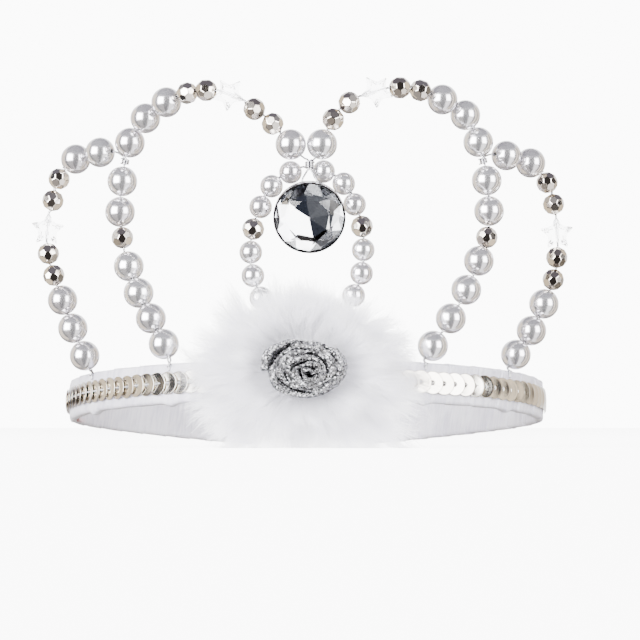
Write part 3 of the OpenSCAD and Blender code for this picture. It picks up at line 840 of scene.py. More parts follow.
@dataclass
class Band:
    """The strip wound with satin ribbon, each turn lapping the one before."""

    around: int = 52
    corner: float = 0.85
    lap: float = 0.24
    slant: float = 0.24
    left_tip_r: float = 2.2
    right_tip_r: float = 4.4
    tie_lump: float = 0.7
    tie_w: float = 2.4
    tie_x: tuple[float, ...] = (-57, -35.5, 31.2, 54)
    hem: float = 0.05
    hem_at: float = 0.03
    pucker: float = 0.055
    slack: float = 0.06
    plain_end: float = 9
    end_rows: int = 8
    # Places along a turn of ribbon, closer together at its proud edge
    shares: tuple[float, ...] = (0.0, 0.012, 0.03, 0.055, 0.09, 0.14, 0.2, 0.28, 0.36, 0.45, 0.54, 0.63,
                                 0.72, 0.8, 0.88, 0.94, 0.985)

    def section(self) -> tuple[Array, float]:
        """A rounded oblong, evenly stepped round: points outward and upward of its middle, and its girth.

        It starts at the middle of the outer face and goes down, so the columns run anticlockwise as seen
        from ahead.
        """
        w, h, r = SIZES.strip_t / 2, SIZES.strip_h / 2, self.corner
        a = np.radians(np.linspace(0, 90, 13))
        lower = np.stack([w - r + r * np.cos(a), -(h - r) - r * np.sin(a)], axis=1)
        right_half = np.concatenate([[[w, 0]], lower])
        other = (right_half * [-1, 1])[::-1]
        half = np.concatenate([right_half, other])
        ring = np.concatenate([half, (half * [1, -1])[::-1][1:-1], half[:1]])
        runs = np.concatenate([[0], np.cumsum(np.linalg.norm(np.diff(ring, axis=0), axis=1))])
        want = np.arange(self.around) / self.around * runs[-1]
        evened = np.stack([np.interp(want, runs, ring[:, 0]), np.interp(want, runs, ring[:, 1])], axis=1)
        return evened, runs[-1]

    def tip_share(self, left: Array, r: float) -> Array:
        """The share of the strip's height that is left at a distance from a tip of corner radius r."""
        short = np.maximum(r - left, 0)
        return 1 - (r - np.sqrt(np.maximum(r * r - short * short, 0))) / (SIZES.strip_h / 2)

    def rows(self) -> tuple[Array, Array]:
        """Places of the surface's rings along the band, and the share of its turn that each one is at."""
        half, pitch = PLAN.half_run, SIZES.wrap_pitch
        turns = int(2 * (half - self.right_tip_r - 1) // pitch)
        start = -turns * pitch / 2
        ends = 1 - np.cos(np.radians(np.linspace(0, 90, self.end_rows)))
        shares = np.tile(self.shares, turns)
        body = start + pitch * (np.repeat(np.arange(turns), len(self.shares)) + shares)
        s = np.concatenate([-half + self.left_tip_r * ends, body, half - self.right_tip_r * ends[::-1]])
        inner = np.concatenate([np.zeros(self.end_rows), shares, np.ones(self.end_rows)])
        return s[:, None], inner[:, None]

    def relief(self, lean: Array, inner: Array, x: Array, z: Array) -> Array:
        """How far the ribbon stands out: its lapped edge with a hem, puckers by the strip's edges, slack.

        Args:
            lean: places along the band, by the slanting ribbon.
            inner: the share of its turn that each row is at.
            x: places out of the section's middle.
            z: places up from it.
        """
        lapped = self.lap * (1 - inner) * step(-0.001, 0.012, inner)
        hem = self.hem * np.exp(-((inner - self.hem_at) / self.hem_at) ** 2) * (inner > 0)
        edge = np.abs(z) / (SIZES.strip_h / 2)
        small = np.stack(np.broadcast_arrays(lean / 1.9, x * 1.2, z / 3.2), axis=-1)
        large = np.stack(np.broadcast_arrays(lean / 7, x, z / 9), axis=-1)
        pucker = self.pucker * ripple(small, 1.0, 3) * (0.35 + edge ** 3)
        return lapped + hem + pucker + self.slack * ripple(large, 1.0, 5, 2)

    def surface(self) -> Surface:
        """The wound strip, carried on the plan: plain at its tips, and wandering a little between them."""
        half = PLAN.half_run
        s, inner = self.rows()
        section, girth = self.section()
        x, z = section[:, 0][None, :], section[:, 1][None, :]
        side = np.clip(x / (SIZES.strip_t / 2), -1, 1)
        fade = step(0, self.plain_end, half - np.abs(s))
        wander = 0.4 * np.sin(s * 0.37) + 0.25 * np.sin(s * 0.83 + 1)
        lean = s + fade * (self.slant * z * side + wander * 0.6)
        rise = self.relief(lean, inner, x, z) * fade - self.lap * 0.45
        tip = np.minimum(self.tip_share(half - s, self.right_tip_r),
                         self.tip_share(half + s, self.left_tip_r))
        thin = 0.5 + 0.5 * np.sqrt(np.clip((half - np.abs(s)) / 1.1, 0, 1))
        ties = PLAN.run_at(np.array(self.tie_x))
        lump = np.maximum(0, 1 - np.abs(lean[..., None] - ties) / self.tie_w).max(axis=-1)
        low = np.where(z < -0.8 * SIZES.strip_h / 2, step(0, 1, lump) * self.tie_lump, 0)
        grow_x = (np.abs(x) + rise) * np.sign(x) * thin
        grow_z = (z * (1 + 0.6 * rise / (SIZES.strip_h / 2))) * tip
        grid = PLAN.on_band(np.clip(lean, -half, half), grow_x - SIZES.strip_t / 2,
                            SIZES.strip_h / 2 + grow_z - low)
        return Surface.grid(grid, close_columns=True, cap_rows=True,
                            runs=(np.linspace(0, girth, self.around + 1), s[:, 0]))

    def build(self, shop: Workshop) -> None:
        """Makes the band."""
        shop.piece("satin_band", self.surface(), Satin(), replaces=["band"])


# The row of sequins

@dataclass
class SequinRow:
    """Cupped sequins, each with its left edge on the one to its left, and the thread that holds them."""

    overrun: float = 6
    hole_d: float = 0.9
    thick: float = 0.15
    dish: float = 0.16
    sides: int = 30
    thread_d: float = 0.3

    def places(self) -> tuple[Array, Array]:
        """Where the sequins sit along the band, and how far each is turned about +Z."""
        reach = PLAN.widest_run + self.overrun
        count = int(reach // SIZES.sequin_pitch)
        s = np.arange(-count, count + 1) * SIZES.sequin_pitch
        d = PLAN.along(s)
        return s, np.arctan2(d[:, 1], d[:, 0]) - self.tilt()

    def tilt(self) -> float:
        """The angle that lays a sequin's edge on its neighbour, as in the part's source."""
        bend = SIZES.front_depth ** 2 / (SIZES.band_w / 2)
        lift = self.thick + SIZES.clear + SIZES.sequin_pitch ** 2 / 2 / bend
        return math.asin(lift / (SIZES.sequin_d / 2))

    def out(self) -> float:
        """How far a sequin's middle stands off the band's face."""
        return SIZES.clear + self.thick / 2 + SIZES.sequin_d / 2 * math.sin(self.tilt())

    def disc(self) -> Surface:
        """One sequin: a disc whose face is dished by the square of the distance from its middle."""
        rim, hole, t = SIZES.sequin_d / 2, self.hole_d / 2, self.thick / 2
        radii = np.array([hole, 0.5 * rim, rim, rim, 0.94 * rim, 0.75 * rim, 0.5 * rim, 0.26 * rim, hole])
        lift = np.array([-t, -t, -t, t * 0.6, t, t, t, t, t * 0.8])
        cup = self.dish * ((radii / rim) ** 2 - 0.5)
        return revolved(np.stack([radii, lift + cup], axis=1), self.sides)

    def stitch(self) -> Surface:
        """A stitch out of the hole, over the sequin's face and down past its left edge."""
        rim = SIZES.sequin_d / 2
        path = smooth_path([(0.05, 0, -0.3), (0, 0, 0.06), (-0.28, 0.02, 0.20), (-1.1, 0.05, 0.14),
                            (-2.2, 0.08, 0.20), (-rim + 0.1, 0.1, 0.26), (-rim - 0.18, 0.1, 0.02),
                            (-rim - 0.25, 0.1, -0.3)], 4)
        return tube(path, self.thread_d / 2, 7, lean=(0.05, 1, 0))

    def build(self, shop: Workshop) -> None:
        """Makes the sequins and their stitches."""
        s, angles = self.places()
        rng = np.random.default_rng(11)
        middles = PLAN.on_band(s, self.out(), SIZES.strip_h / 2 + rng.uniform(-0.08, 0.08, len(s)))
        # Stood up, its face outwards, then turned to the band's way there
        askew = np.radians(rng.uniform(-0.8, 0.8, len(s)))
        turns = turns_about_z(angles + askew) @ turn_about_x(90)
        discs = self.disc().repeated(turns, middles, rng.uniform(0.1, 1.0, len(s)))
        shop.piece("sequin_row", discs, Sequin(), replaces=["sequins"])
        stitches = self.stitch().repeated(turns, middles, np.full(len(s), 0.5))
        shop.piece("sequin_stitches", stitches, Thread())


# Beads on wire

class Bead(Enum):
    """What a letter of a string stands for."""

    PEARL = "P"
    SMALL_PEARL = "p"
    FACETED = "F"
    STAR = "S"
    BARE = "G"
    JOINT = "J"
    CROSSING = "X"

    def before(self) -> float:
        """Room along the wire before the bead's middle."""
        r = SIZES.silver_d / 2
        notch = math.atan2(SIZES.star_r * math.sin(math.radians(36)),
                           SIZES.star_r * math.cos(math.radians(36)) - SIZES.star_notch_r)
        seat = r / math.sin(notch) - r + 6 * SIZES.clear
        return {Bead.PEARL: SIZES.pearl_d / 2, Bead.SMALL_PEARL: SIZES.small_pearl_d / 2, Bead.FACETED: r,
                Bead.STAR: SIZES.star_notch_r + seat, Bead.BARE: SIZES.bare_gap / 2,
                Bead.CROSSING: SIZES.cross_gap / 2, Bead.JOINT: SIZES.joint_gap / 2}[self]

    def after(self) -> float:
        """Room along the wire after the bead's middle."""
        return SIZES.star_r if self is Bead.STAR else self.before()


@dataclass
class BeadString:
    """One string: its beads by letter and its route, from just above the band to its end."""

    name: str
    letters: str
    route: tuple[tuple[float, float, float], ...]
    path: Array = field(init=False, repr=False)
    middles: Array = field(init=False, repr=False)
    ways: Array = field(init=False, repr=False)

    def __post_init__(self) -> None:
        """Walks along the route, setting each bead its room away from the last."""
        self.path = smooth_path(self.route)
        at, here, room, middles = 0, self.path[0], SIZES.clear, []
        for letter in self.letters:
            bead = Bead(letter)
            far = room + bead.before()
            gaps = np.linalg.norm(self.path[at:] - here, axis=1)
            at += int(np.argmax(gaps >= far))
            p, q = self.path[max(at - 1, 0)], self.path[at]
            dp, dq = np.linalg.norm(p - here), np.linalg.norm(q - here)
            here = q if dq - dp < 0.001 else p + (q - p) * min(1.0, (far - dp) / (dq - dp))
            middles.append(here)
            room = bead.after() + SIZES.bead_gap
        self.middles = np.array(middles)
        ends = np.concatenate([self.path[:1], self.middles, self.path[-1:]])
        self.ways = unit(ends[2:] - ends[:-2])

    def beads(self, *kinds: Bead) -> tuple[Array, Array]:
        """The middles and ways of the beads of some kinds."""
        pick = np.array([Bead(c) in kinds for c in self.letters])
        return self.middles[pick], self.ways[pick]

    def through(self, behind: float) -> list[Array]:
        """Where the wire runs straight between: the ends of each bead's hole and of each joint."""
        points: list[Array] = []
        for letter, p, d in zip(self.letters, self.middles, self.ways):
            bead = Bead(letter)
            if bead is Bead.CROSSING:
                points.append(np.array([p[0], behind, p[2]]))
            elif bead is Bead.BARE:
                points.append(p)
            elif bead is Bead.JOINT:
                points += [p - 0.35 * SIZES.joint_gap * d, p + 0.35 * SIZES.joint_gap * d]
            else:
                back = SIZES.star_notch_r if bead is Bead.STAR else bead.before()
                points += [p - back * d, p + bead.after() * d]
        return points


STRINGS = {
    "left_outer": BeadString("left_outer", "PPPFFSFFPP", (
        (-57, 28.5, 11.6), (-59.5, 29, 15.5), (-62.5, 29.5, 22.5), (-65.5, 30, 30.5), (-68, 30, 37.5),
        (-69.5, 30, 44), (-69.5, 30, 51), (-68, 29.5, 58), (-66, 28.5, 64), (-61, 26, 68.5),
        (-55, 22, 69), (-49, 18.5, 68))),
    "left_inner": BeadString("left_inner", "PPPPGFPPJPPPFFSFFP", (
        (-35.5, 9.5, 12.2), (-37.5, 10.5, 16.5), (-41.5, 13, 24.5), (-45, 15.5, 32), (-47.5, 17.5, 39.5),
        (-49, 19, 47), (-49.5, 19.5, 55), (-48.5, 18.5, 63), (-46.5, 16.5, 71.5), (-42, 12.5, 77),
        (-36.5, 8, 80), (-31, 4, 81.5), (-25.5, 0.5, 81.5), (-20, -1.5, 80), (-13.5, -2.5, 76),
        (-9, -2, 72.5), (-4.5, -1, 67.5), (0, 0, 63))),
    "centre": BeadString("centre", "pppppFpppXpppFppppp", (
        (-7.5, 1.6, 12), (-8.5, 2, 15), (-10, 2.2, 22), (-12, 2.2, 28), (-14, 2.2, 34), (-14.2, 2.2, 41),
        (-13.2, 2.2, 47), (-11.2, 2.2, 52), (-8, 2.4, 57.5), (-3, 2.6, 60.5), (1, 2.6, 61), (5, 2.6, 60.2),
        (10, 2.4, 57), (12.8, 2.2, 51.5), (14.7, 2.2, 45.5), (15, 2.2, 39), (14.5, 2.2, 33),
        (12.5, 2.2, 27.5), (10.5, 2.2, 22.5), (9, 2, 15.5), (7.5, 1.6, 11))),
    "right_inner": BeadString("right_inner", "PGPGPGPFPPJPPPFFSFFP", (
        (31.2, 7.8, 11.6), (33.5, 8.5, 15.5), (38, 11, 22.5), (42, 13.5, 30), (45.5, 16.5, 38),
        (48.2, 18.6, 46), (48.7, 18.6, 53.5), (48, 18, 61.5), (46.2, 16.2, 69.5), (42.8, 13, 76.8),
        (36.2, 8.5, 80.6), (30.5, 5, 82.3), (24.5, 2, 82.5), (18, 0, 81), (11.5, -1, 78), (7.5, -1, 74),
        (4.8, -0.5, 68), (2, 0, 63))),
    "right_outer": BeadString("right_outer", "PPPFFSFFPP", (
        (54, 25, 11.8), (56, 26.5, 15), (60.5, 28.5, 22), (64, 29.5, 29.5), (66.5, 30, 36),
        (67.5, 30, 42.5), (67.5, 30, 49.5), (66.5, 29.5, 57), (64.5, 28, 62.5), (60, 25.5, 67),
        (54, 21.5, 68), (47.5, 17.5, 67))),
}
CROSS = np.array([1.0, 0.0, 61.5])
BUNDLE_HALF = SIZES.wire_d / 2 + 0.05


def side_reach(beads: BeadString, way: float) -> float:
    """How far a string's beads stand out sideways."""
    halves = [SIZES.star_r * math.sin(math.radians(72)) if c == "S" else Bead(c).before()
              for c in beads.letters]
    return float(np.max(way * beads.middles[:, 0] + np.array(halves)))


REST = Rest((side_reach(STRINGS["right_outer"], 1) - side_reach(STRINGS["left_outer"], -1)) / 2)


@dataclass
class BeadMaker:
    """The shapes of the beads, each drilled along +Z."""

    sides: int = 32
    lip: float = 0.18
    five_share: float = 0.9393
    six_share: float = 0.9149
    bevel: float = 0.11
    star_cut: float = 0.14

    def pearl(self, d: float) -> Surface:
        """A drilled sphere: a half circle from hole to hole, a rounded lip, and the hole's wall."""
        r, hole = d / 2, SIZES.hole_d / 2
        start = math.asin((hole + self.lip) / r)
        a = np.linspace(np.pi - start, start, 22)
        outer = np.stack([r * np.sin(a), r * np.cos(a)], axis=1)
        top = outer[-1, 1]
        lip = np.array([[hole + 0.05, top - 0.02], [hole, top - 0.16]])
        inner = np.concatenate([lip, [[hole, 0.0]], (lip * [1, -1])[::-1]])
        return revolved(np.concatenate([outer, inner]), self.sides)

    def faceted(self) -> Surface:
        """A football cut: twelve five-sided and twenty six-sided flats, their edges just broken.

        A flat's corners are the places where its own plane meets two neighbours' planes, which the hull
        of all such places inside every plane finds. A narrow bevel then breaks the edges.
        """
        gold = (1 + math.sqrt(5)) / 2
        five = [v for s in (-1, 1) for v in ((0, 1, s * gold), (1, s * gold, 0), (s * gold, 0, 1))]
        six = [(a, b, 1) for a in (-1, 1) for b in (-1, 1)]
        six += [v for s in (-1, 1) for v in ((s / gold, 0, gold), (gold, s / gold, 0), (0, gold, s / gold))]
        ways = unit(np.array(five + [tuple(-c for c in v) for v in five] + six
                             + [tuple(-c for c in v) for v in six], float))
        half = SIZES.silver_d / 2
        far = np.array([self.five_share * half] * 12 + [self.six_share * half] * 20)
        i, j, k = np.array(np.meshgrid(*[np.arange(32)] * 3, indexing="ij")).reshape(3, -1)
        ordered = (i < j) & (j < k)
        trios = np.stack([i[ordered], j[ordered], k[ordered]], axis=1)
        planes = ways[trios]
        sound = np.abs(np.linalg.det(planes)) > 0.05
        corners = np.linalg.solve(planes[sound], far[trios[sound]][..., None])[..., 0]
        corners = corners[(corners @ ways.T <= far + 1e-6).all(axis=1)]
        corners = np.unique(np.round(corners, 5), axis=0)
        return self.bevelled(corners)

    def bevelled(self, corners: Array) -> Surface:
        """The hull of corners with its edges bevelled and a hole drilled through along +Z."""
        mesh = bpy.data.meshes.new("bead_blank")
        work = bmesh.new()
        for corner in corners:
            work.verts.new(corner)
        bmesh.ops.convex_hull(work, input=work.verts)
        bmesh.ops.dissolve_limit(work, angle_limit=math.radians(2), verts=work.verts, edges=work.edges)
        bmesh.ops.bevel(work, geom=list(work.edges), offset=self.bevel, segments=1, affect="EDGES",
                        profile=0.6)
        work.to_mesh(mesh)
        work.free()
        blank = bpy.data.objects.new("bead_blank", mesh)
        drill_mesh = bpy.data.meshes.new("drill")
        drill = revolved(np.array([[0.001, -9.0], [SIZES.hole_d / 2, -9.0], [SIZES.hole_d / 2, 9.0],
                                   [0.001, 9.0]]), 16)
        drill_mesh.from_pydata(drill.points, [], np.concatenate(drill.faces))
        cutter = bpy.data.objects.new("drill", drill_mesh)
        for made in (blank, cutter):
            bpy.context.scene.collection.objects.link(made)
        cut = blank.modifiers.new("hole", "BOOLEAN")
        cut.operation, cut.object, cut.solver = "DIFFERENCE", cutter, "EXACT"
        held = blank.evaluated_get(bpy.context.evaluated_depsgraph_get())
        done = held.to_mesh()
        work = bmesh.new()
        work.from_mesh(done)
        bmesh.ops.triangulate(work, faces=work.faces)
        points = np.array([v.co for v in work.verts])
        faces = np.array([[v.index for v in f.verts] for f in work.faces])
        work.free()
        held.to_mesh_clear()
        for made in (blank, cutter):
            bpy.data.objects.remove(made)
        uv = np.stack([np.arctan2(points[:, 1], points[:, 0]) / (2 * np.pi) + 0.5,
                       points[:, 2] / SIZES.silver_d + 0.5], axis=1)
        return Surface(points, [faces], [uv[faces]], np.full(len(points), 0.5))

    def star(self) -> Surface:
        """A puffed five-pointed star with rounded points, and the bore that shows through it.

        Each ring is the star's outline times a share that falls from the middle plane to the faces. The
        bore is a closed hollow just short of the skin, its faces turned into it.
        """
        a = np.radians(36 * np.arange(10))
        r = np.where(np.arange(10) % 2 == 0, SIZES.star_r, SIZES.star_notch_r)
        corners = np.stack([r * np.sin(a), r * np.cos(a)], axis=1)
        ahead, behind = np.roll(corners, -1, axis=0), np.roll(corners, 1, axis=0)
        cut = self.star_cut
        rounded = corners + 0.3 * cut * (ahead + behind - 2 * corners)
        outline = np.stack([corners + cut * (behind - corners), rounded,
                            corners + cut * (ahead - corners)], axis=1).reshape(-1, 2)
        half = SIZES.star_t / 2
        up = np.array([-1, -0.97, -0.86, -0.08, 0.08, 0.86, 0.97, 1])
        share = np.array([0.58, 0.63, 0.68, 0.985, 0.985, 0.68, 0.63, 0.58])
        rings = np.stack([np.stack([outline[:, 0] * q, np.full(len(outline), half * h), outline[:, 1] * q],
                                   axis=1) for h, q in zip(up, share)])
        body = Surface.grid(rings, close_columns=True, cap_rows=True)
        bore = tube(np.array([[0, 0, z] for z in np.linspace(-SIZES.star_notch_r + 0.1,
                                                              SIZES.star_r - 1.1, 6)]),
                    SIZES.hole_d / 2 - 0.1, 14)
        turned = Surface(bore.points, [f[:, ::-1] for f in bore.faces], [uv[:, ::-1] for uv in bore.uvs],
                         bore.tones)
        return Surface.join([body, turned])


@dataclass
class Beads:
    """All the beads, one piece for each CAD node."""

    maker: BeadMaker = field(default_factory=BeadMaker)

    def build(self, shop: Workshop) -> None:
        """Makes the pearls, faceted beads and stars of every string."""
        rng = np.random.default_rng(5)
        kinds = (("pearls", (Bead.PEARL,), self.maker.pearl(SIZES.pearl_d), Pearl(), "pearl", True),
                 ("pearls", (Bead.SMALL_PEARL,), self.maker.pearl(SIZES.small_pearl_d), Pearl(), "pearl",
                  True),
                 ("silver", (Bead.FACETED,), self.maker.faceted(), Mirror(), "silver_bead", False),
                 ("star", (Bead.STAR,), self.maker.star(), Clear(), "star", False))
        for string in STRINGS.values():
            for label, beads, shape, finish, slot, smooth in kinds:
                middles, ways = string.beads(*beads)
                if not len(middles):
                    continue
                spin = np.zeros(len(middles))
                if label == "pearls":
                    spin = rng.uniform(0, 2 * np.pi, len(middles))
                turns = aimed(ways) @ turns_about_z(spin)
                all_beads = shape.repeated(turns, middles, rng.uniform(0, 1, len(middles)))
                shop.piece(f"{string.name}_{label}_beads", all_beads, finish,
                           replaces=[f"{string.name}_{label}"], smooth=smooth)


# Wire

@dataclass
class Wires:
    """The strings' wires, their doubled feet, the tied joints and the loop that the stone hangs on."""

    sides: int = 10
    wind_d: float = 0.45
    wind_gap: float = 0.05
    wind_pitch: float = 0.42
    joint_turns: float = 3.1
    crossing_turns: float = 4.2
    loop_half: float = 1.85
    foot_turns: float = 1.3
    foot_apart: float = 0.46
    foot_d: float = 0.42

    def foot(self, x: float) -> list[Array]:
        """A foot: up the band's outer face from just above the sequins and over its edge."""
        low, out = SIZES.strip_h / 2 + SIZES.sequin_d / 2 + 0.3, SIZES.wire_d / 2 + SIZES.clear
        s = PLAN.run_at(np.array([x]))
        return [PLAN.on_band(s, o, z)[0] for o, z in (
            (out, low), (out, (low + SIZES.strip_h) / 2), (0.9 * out, SIZES.strip_h - 0.15))]

    def bundle_r(self) -> float:
        """Radius of the four wires in the crossing."""
        return math.sqrt(2) * BUNDLE_HALF + SIZES.wire_d / 2

    def strand(self, path: Sequence[Array], d: float = SIZES.wire_d) -> Surface:
        """A wire along a path, a little softened at its bends."""
        return tube(smooth_path(path, 3), d / 2, self.sides)

    def joint(self, name: str) -> tuple[Array, Array]:
        """The middle and the way of an inner string's tied joint."""
        middles, ways = STRINGS[name].beads(Bead.JOINT)
        return middles[0], ways[0]

    def string_path(self, name: str) -> list[Array]:
        """The whole way of one string's wire."""
        string = STRINGS[name]
        behind = -BUNDLE_HALF + self.bundle_r() + self.wind_gap + self.wind_d + SIZES.clear \
            + SIZES.wire_d / 2
        path = self.foot(string.route[0][0]) + string.through(behind)
        if name == "centre":
            return path + self.foot(string.route[-1][0])[::-1]
        if name.endswith("inner"):
            side = BUNDLE_HALF * (-1 if name.startswith("left") else 1)
            return path + [CROSS + [side, 0, 1.3], CROSS + [side, 0, -1.3]]
        middle, way = self.joint(name.replace("outer", "inner"))
        return path + [middle + [0, -2 * BUNDLE_HALF, 0] + h * SIZES.joint_gap * way for h in (0.35, -0.3)]

    def coil(self, middle: Array, way: Array, r: float, turns: float) -> Surface:
        """Wire wound round a bundle: a helix of radius r along way, its two cut ends turned outwards."""
        t = np.linspace(-0.5, 0.5, int(26 * turns) + 1)
        a = 2 * np.pi * turns * t
        far = r * (1 + 0.5 * step(0.47, 0.5, np.abs(t)))
        local = np.stack([far * np.cos(a), far * np.sin(a), turns * self.wind_pitch * t], axis=1)
        ways = unit(np.gradient(local, axis=0))
        inward = unit(local * [1, 1, 0])
        v = np.cross(ways, inward)
        ring = 2 * np.pi * np.arange(8) / 8
        round_it = np.cos(ring)[None, :, None] * inward[:, None] + np.sin(ring)[None, :, None] * v[:, None]
        coil = Surface.grid(local[:, None] + self.wind_d / 2 * round_it, close_columns=True, cap_rows=True)
        turn = aimed(way[None])[0]
        return coil.moved(lambda p: p @ turn.T + middle)

    def twist(self, x: float, top: Array) -> Surface:
        """The second strand of a foot, wound round the first from the band's edge up to the bead."""
        path = smooth_path(self.foot(x)[1:] + [top], 12)
        t = np.linspace(0, 1, len(path))
        ways = unit(np.gradient(path, axis=0))
        u = unit(np.cross(ways, [0.1, 1.0, 0.2]))
        v = np.cross(ways, u)
        a = (2 * np.pi * self.foot_turns * t)[:, None]
        return tube(path + self.foot_apart * (u * np.cos(a) + v * np.sin(a)), self.foot_d / 2, 8)

    def build(self, shop: Workshop) -> None:
        """Makes every wire, each piece standing for its CAD node."""
        metal = Mirror("bright_wire", (0.70, 0.70, 0.71), (0.42, 0.42, 0.44), 0.14, 0.0004)
        for name, string in STRINGS.items():
            path = self.string_path(name)
            twists = [self.twist(string.route[0][0], path[3])]
            if name == "centre":
                twists.append(self.twist(string.route[-1][0], path[-4]))
            whole = Surface.join([self.strand(path), *twists])
            shop.piece(f"{name}_wire_strand", whole, metal, replaces=[f"{name}_wire"])
        for side in ("left", "right"):
            middle, way = self.joint(f"{side}_inner")
            coil = self.coil(middle + [0, -BUNDLE_HALF, 0], way, BUNDLE_HALF + SIZES.wire_d / 2
                             + self.wind_gap + self.wind_d / 2, self.joint_turns)
            shop.piece(f"{side}_joint_coil", coil, metal, replaces=[f"{side}_joint"])
        coil = self.coil(CROSS + [0, -BUNDLE_HALF, 0], np.array([0.0, 0, 1]), self.bundle_r()
                         + self.wind_gap + self.wind_d / 2, self.crossing_turns)
        shop.piece("crossing_coil", coil, metal, replaces=["crossing"])
        top, back = CROSS[2] - Stone.PIVOT[2], -2 * BUNDLE_HALF - Stone.PIVOT[1]
        w, d = self.loop_half, SIZES.wire_d
        right = [(w - d, 0, 0), (w - 0.3 * d, 0, 0.3 * d), (w, 0, d), (w - 0.1, 0, 1.6),
                 (0.6, back - 0.1, top - 1.6), (BUNDLE_HALF, back, top - 1),
                 (BUNDLE_HALF, back, top + 1.35)]
        loop = [(-x, y, z) for x, y, z in right[::-1]] + right
        bent = tube(smooth_path(loop, 5) + np.array(Stone.PIVOT), d / 2, self.sides, lean=(0.1, 1, 0.15))
        shop.piece("hanging_loop", bent, metal, replaces=["gem_loop"])


# The hanging stone

@dataclass
class Stone:
    """A round cut stone of clear acrylic, silvered behind with painted reflections, in a plain metal cup."""

    PIVOT = (1.0, -1.6, 56.1)
    LEAN = 16.0
    # The flats behind, by how far their ways go along +Z: all of them, and the inner ring's
    BEHIND = -0.4
    INNERMOST = -0.993
    # Tones of the flats behind, their painted reflections, going round from the right
    OUTER_TONES = (0.9, 0.4, 0.25, 0.5, 0.1, 0.3, 0.95, 1.0, 1.0, 1.0, 0.6, 1.0, 0.5, 0.2, 0.35, 0.7)
    INNER_TONES = (0.24, 0.22, 0.1, 1.0, 1.0, 1.0, 0.12, 0.2)

    gem_r: float = 9
    gem_t: float = 5.5
    table_w: float = 10.4
    girdle: float = 1.2
    star_ring: float = 7.6
    cone_ring: float = 5.2
    cone_z: float = 0.32
    point_z: float = 0.02
    bevel: float = 0.07
    rim_r: float = 9.4
    plate_out: float = 1.2
    eyelet_drop: float = 1.2
    map_w: float = 20

    def placed(self, points: Array) -> Array:
        """Points of the stone's own frame, its table facing +Z, as they hang in the band's frame."""
        flat = points + [0, 0, SIZES.clear]
        hung = flat @ turn_about_x(90).T + [0, -self.plate_out, self.eyelet_drop - self.rim_r]
        return hung @ turn_about_x(REST.tilt + self.LEAN).T + np.array(self.PIVOT)

    def ring(self, count: int, r: float, z: float, turn: float) -> Array:
        """Evenly spaced corners of a level ring."""
        a = 2 * np.pi * (np.arange(count) + turn) / count
        return np.stack([r * np.cos(a), r * np.sin(a), np.full(count, z)], axis=1)

    def blank(self) -> tuple[Array, Array]:
        """The stone's hull: table, star flats and kites in front, and a low sixteen-sided cone behind.

        Returns:
            Its points, in the band's frame, and its triangles.
        """
        to_side = math.cos(math.radians(180 / 8))
        table_r = self.table_w / 2 / to_side
        slope = (self.gem_t - self.girdle) / (self.gem_r - table_r)
        star_z = self.gem_t - (self.star_ring * to_side - table_r) * slope
        corners = np.concatenate([
            self.ring(8, table_r, self.gem_t, 0.5), self.ring(8, self.star_ring, star_z, 0),
            self.ring(16, self.gem_r, self.girdle, 0), self.ring(16, self.gem_r, self.girdle - 0.3, 0),
            self.ring(8, self.cone_ring, self.cone_z, 0.25), [[0, 0, self.point_z]]])
        work = bmesh.new()
        for corner in self.placed(corners):
            work.verts.new(corner)
        bmesh.ops.convex_hull(work, input=work.verts)
        bmesh.ops.dissolve_limit(work, angle_limit=math.radians(1.5), verts=work.verts, edges=work.edges)
        bmesh.ops.bevel(work, geom=list(work.edges), offset=self.bevel, segments=1, affect="EDGES")
        bmesh.ops.triangulate(work, faces=work.faces)
        points = np.array([v.co for v in work.verts])
        faces = np.array([[v.index for v in f.verts] for f in work.faces])
        work.free()
        return points, faces

    def tones(self, ways: Array) -> Array:
        """The tone of each flat, by the way that it faces in the stone's own frame: its painted reflection.
        """
        bearing = np.degrees(np.arctan2(ways[:, 1], ways[:, 0])) % 360
        outer, inner = (np.array(tones)[(bearing / (360 / len(tones))).astype(int) % len(tones)]
                        for tones in (self.OUTER_TONES, self.INNER_TONES))
        return np.where(ways[:, 2] > self.INNERMOST, outer, inner) ** 3

    def build(self, shop: Workshop) -> None:
        """Makes the stone, silvers its back with painted reflections, and dresses the cup that the CAD
        gives.
        """
        points, faces = self.blank()
        a, b, c = (points[faces[:, i]] for i in range(3))
        ways = unit(np.cross(b - a, c - a)) @ (turn_about_x(REST.tilt + self.LEAN) @ turn_about_x(90))
        behind = ways[:, 2] < self.BEHIND
        # Each corner of a face gets its own point, so that a flat's tone, its painted reflection, ends at
        # its edges
        own = points[faces].reshape(-1, 3)
        corners = np.arange(len(own)).reshape(-1, 3)
        uv = own[corners][:, :, [0, 2]] / self.map_w + 0.5
        stone = shop.piece("cut_stone", Surface(own, [corners], [uv], np.repeat(self.tones(ways), 3)),
                           Clear("stone_acrylic", bend=1.49), body="pendant", replaces=["gem"],
                           smooth=False)
        stone.data.materials.append(Foil().material())
        stone.data.polygons.foreach_set("material_index", behind.astype(np.int32))
        shop.dress_node("gem_setting", Mirror("stone_cup", (0.86, 0.86, 0.88), (0.70, 0.70, 0.73), 0.12))


# The glitter rose

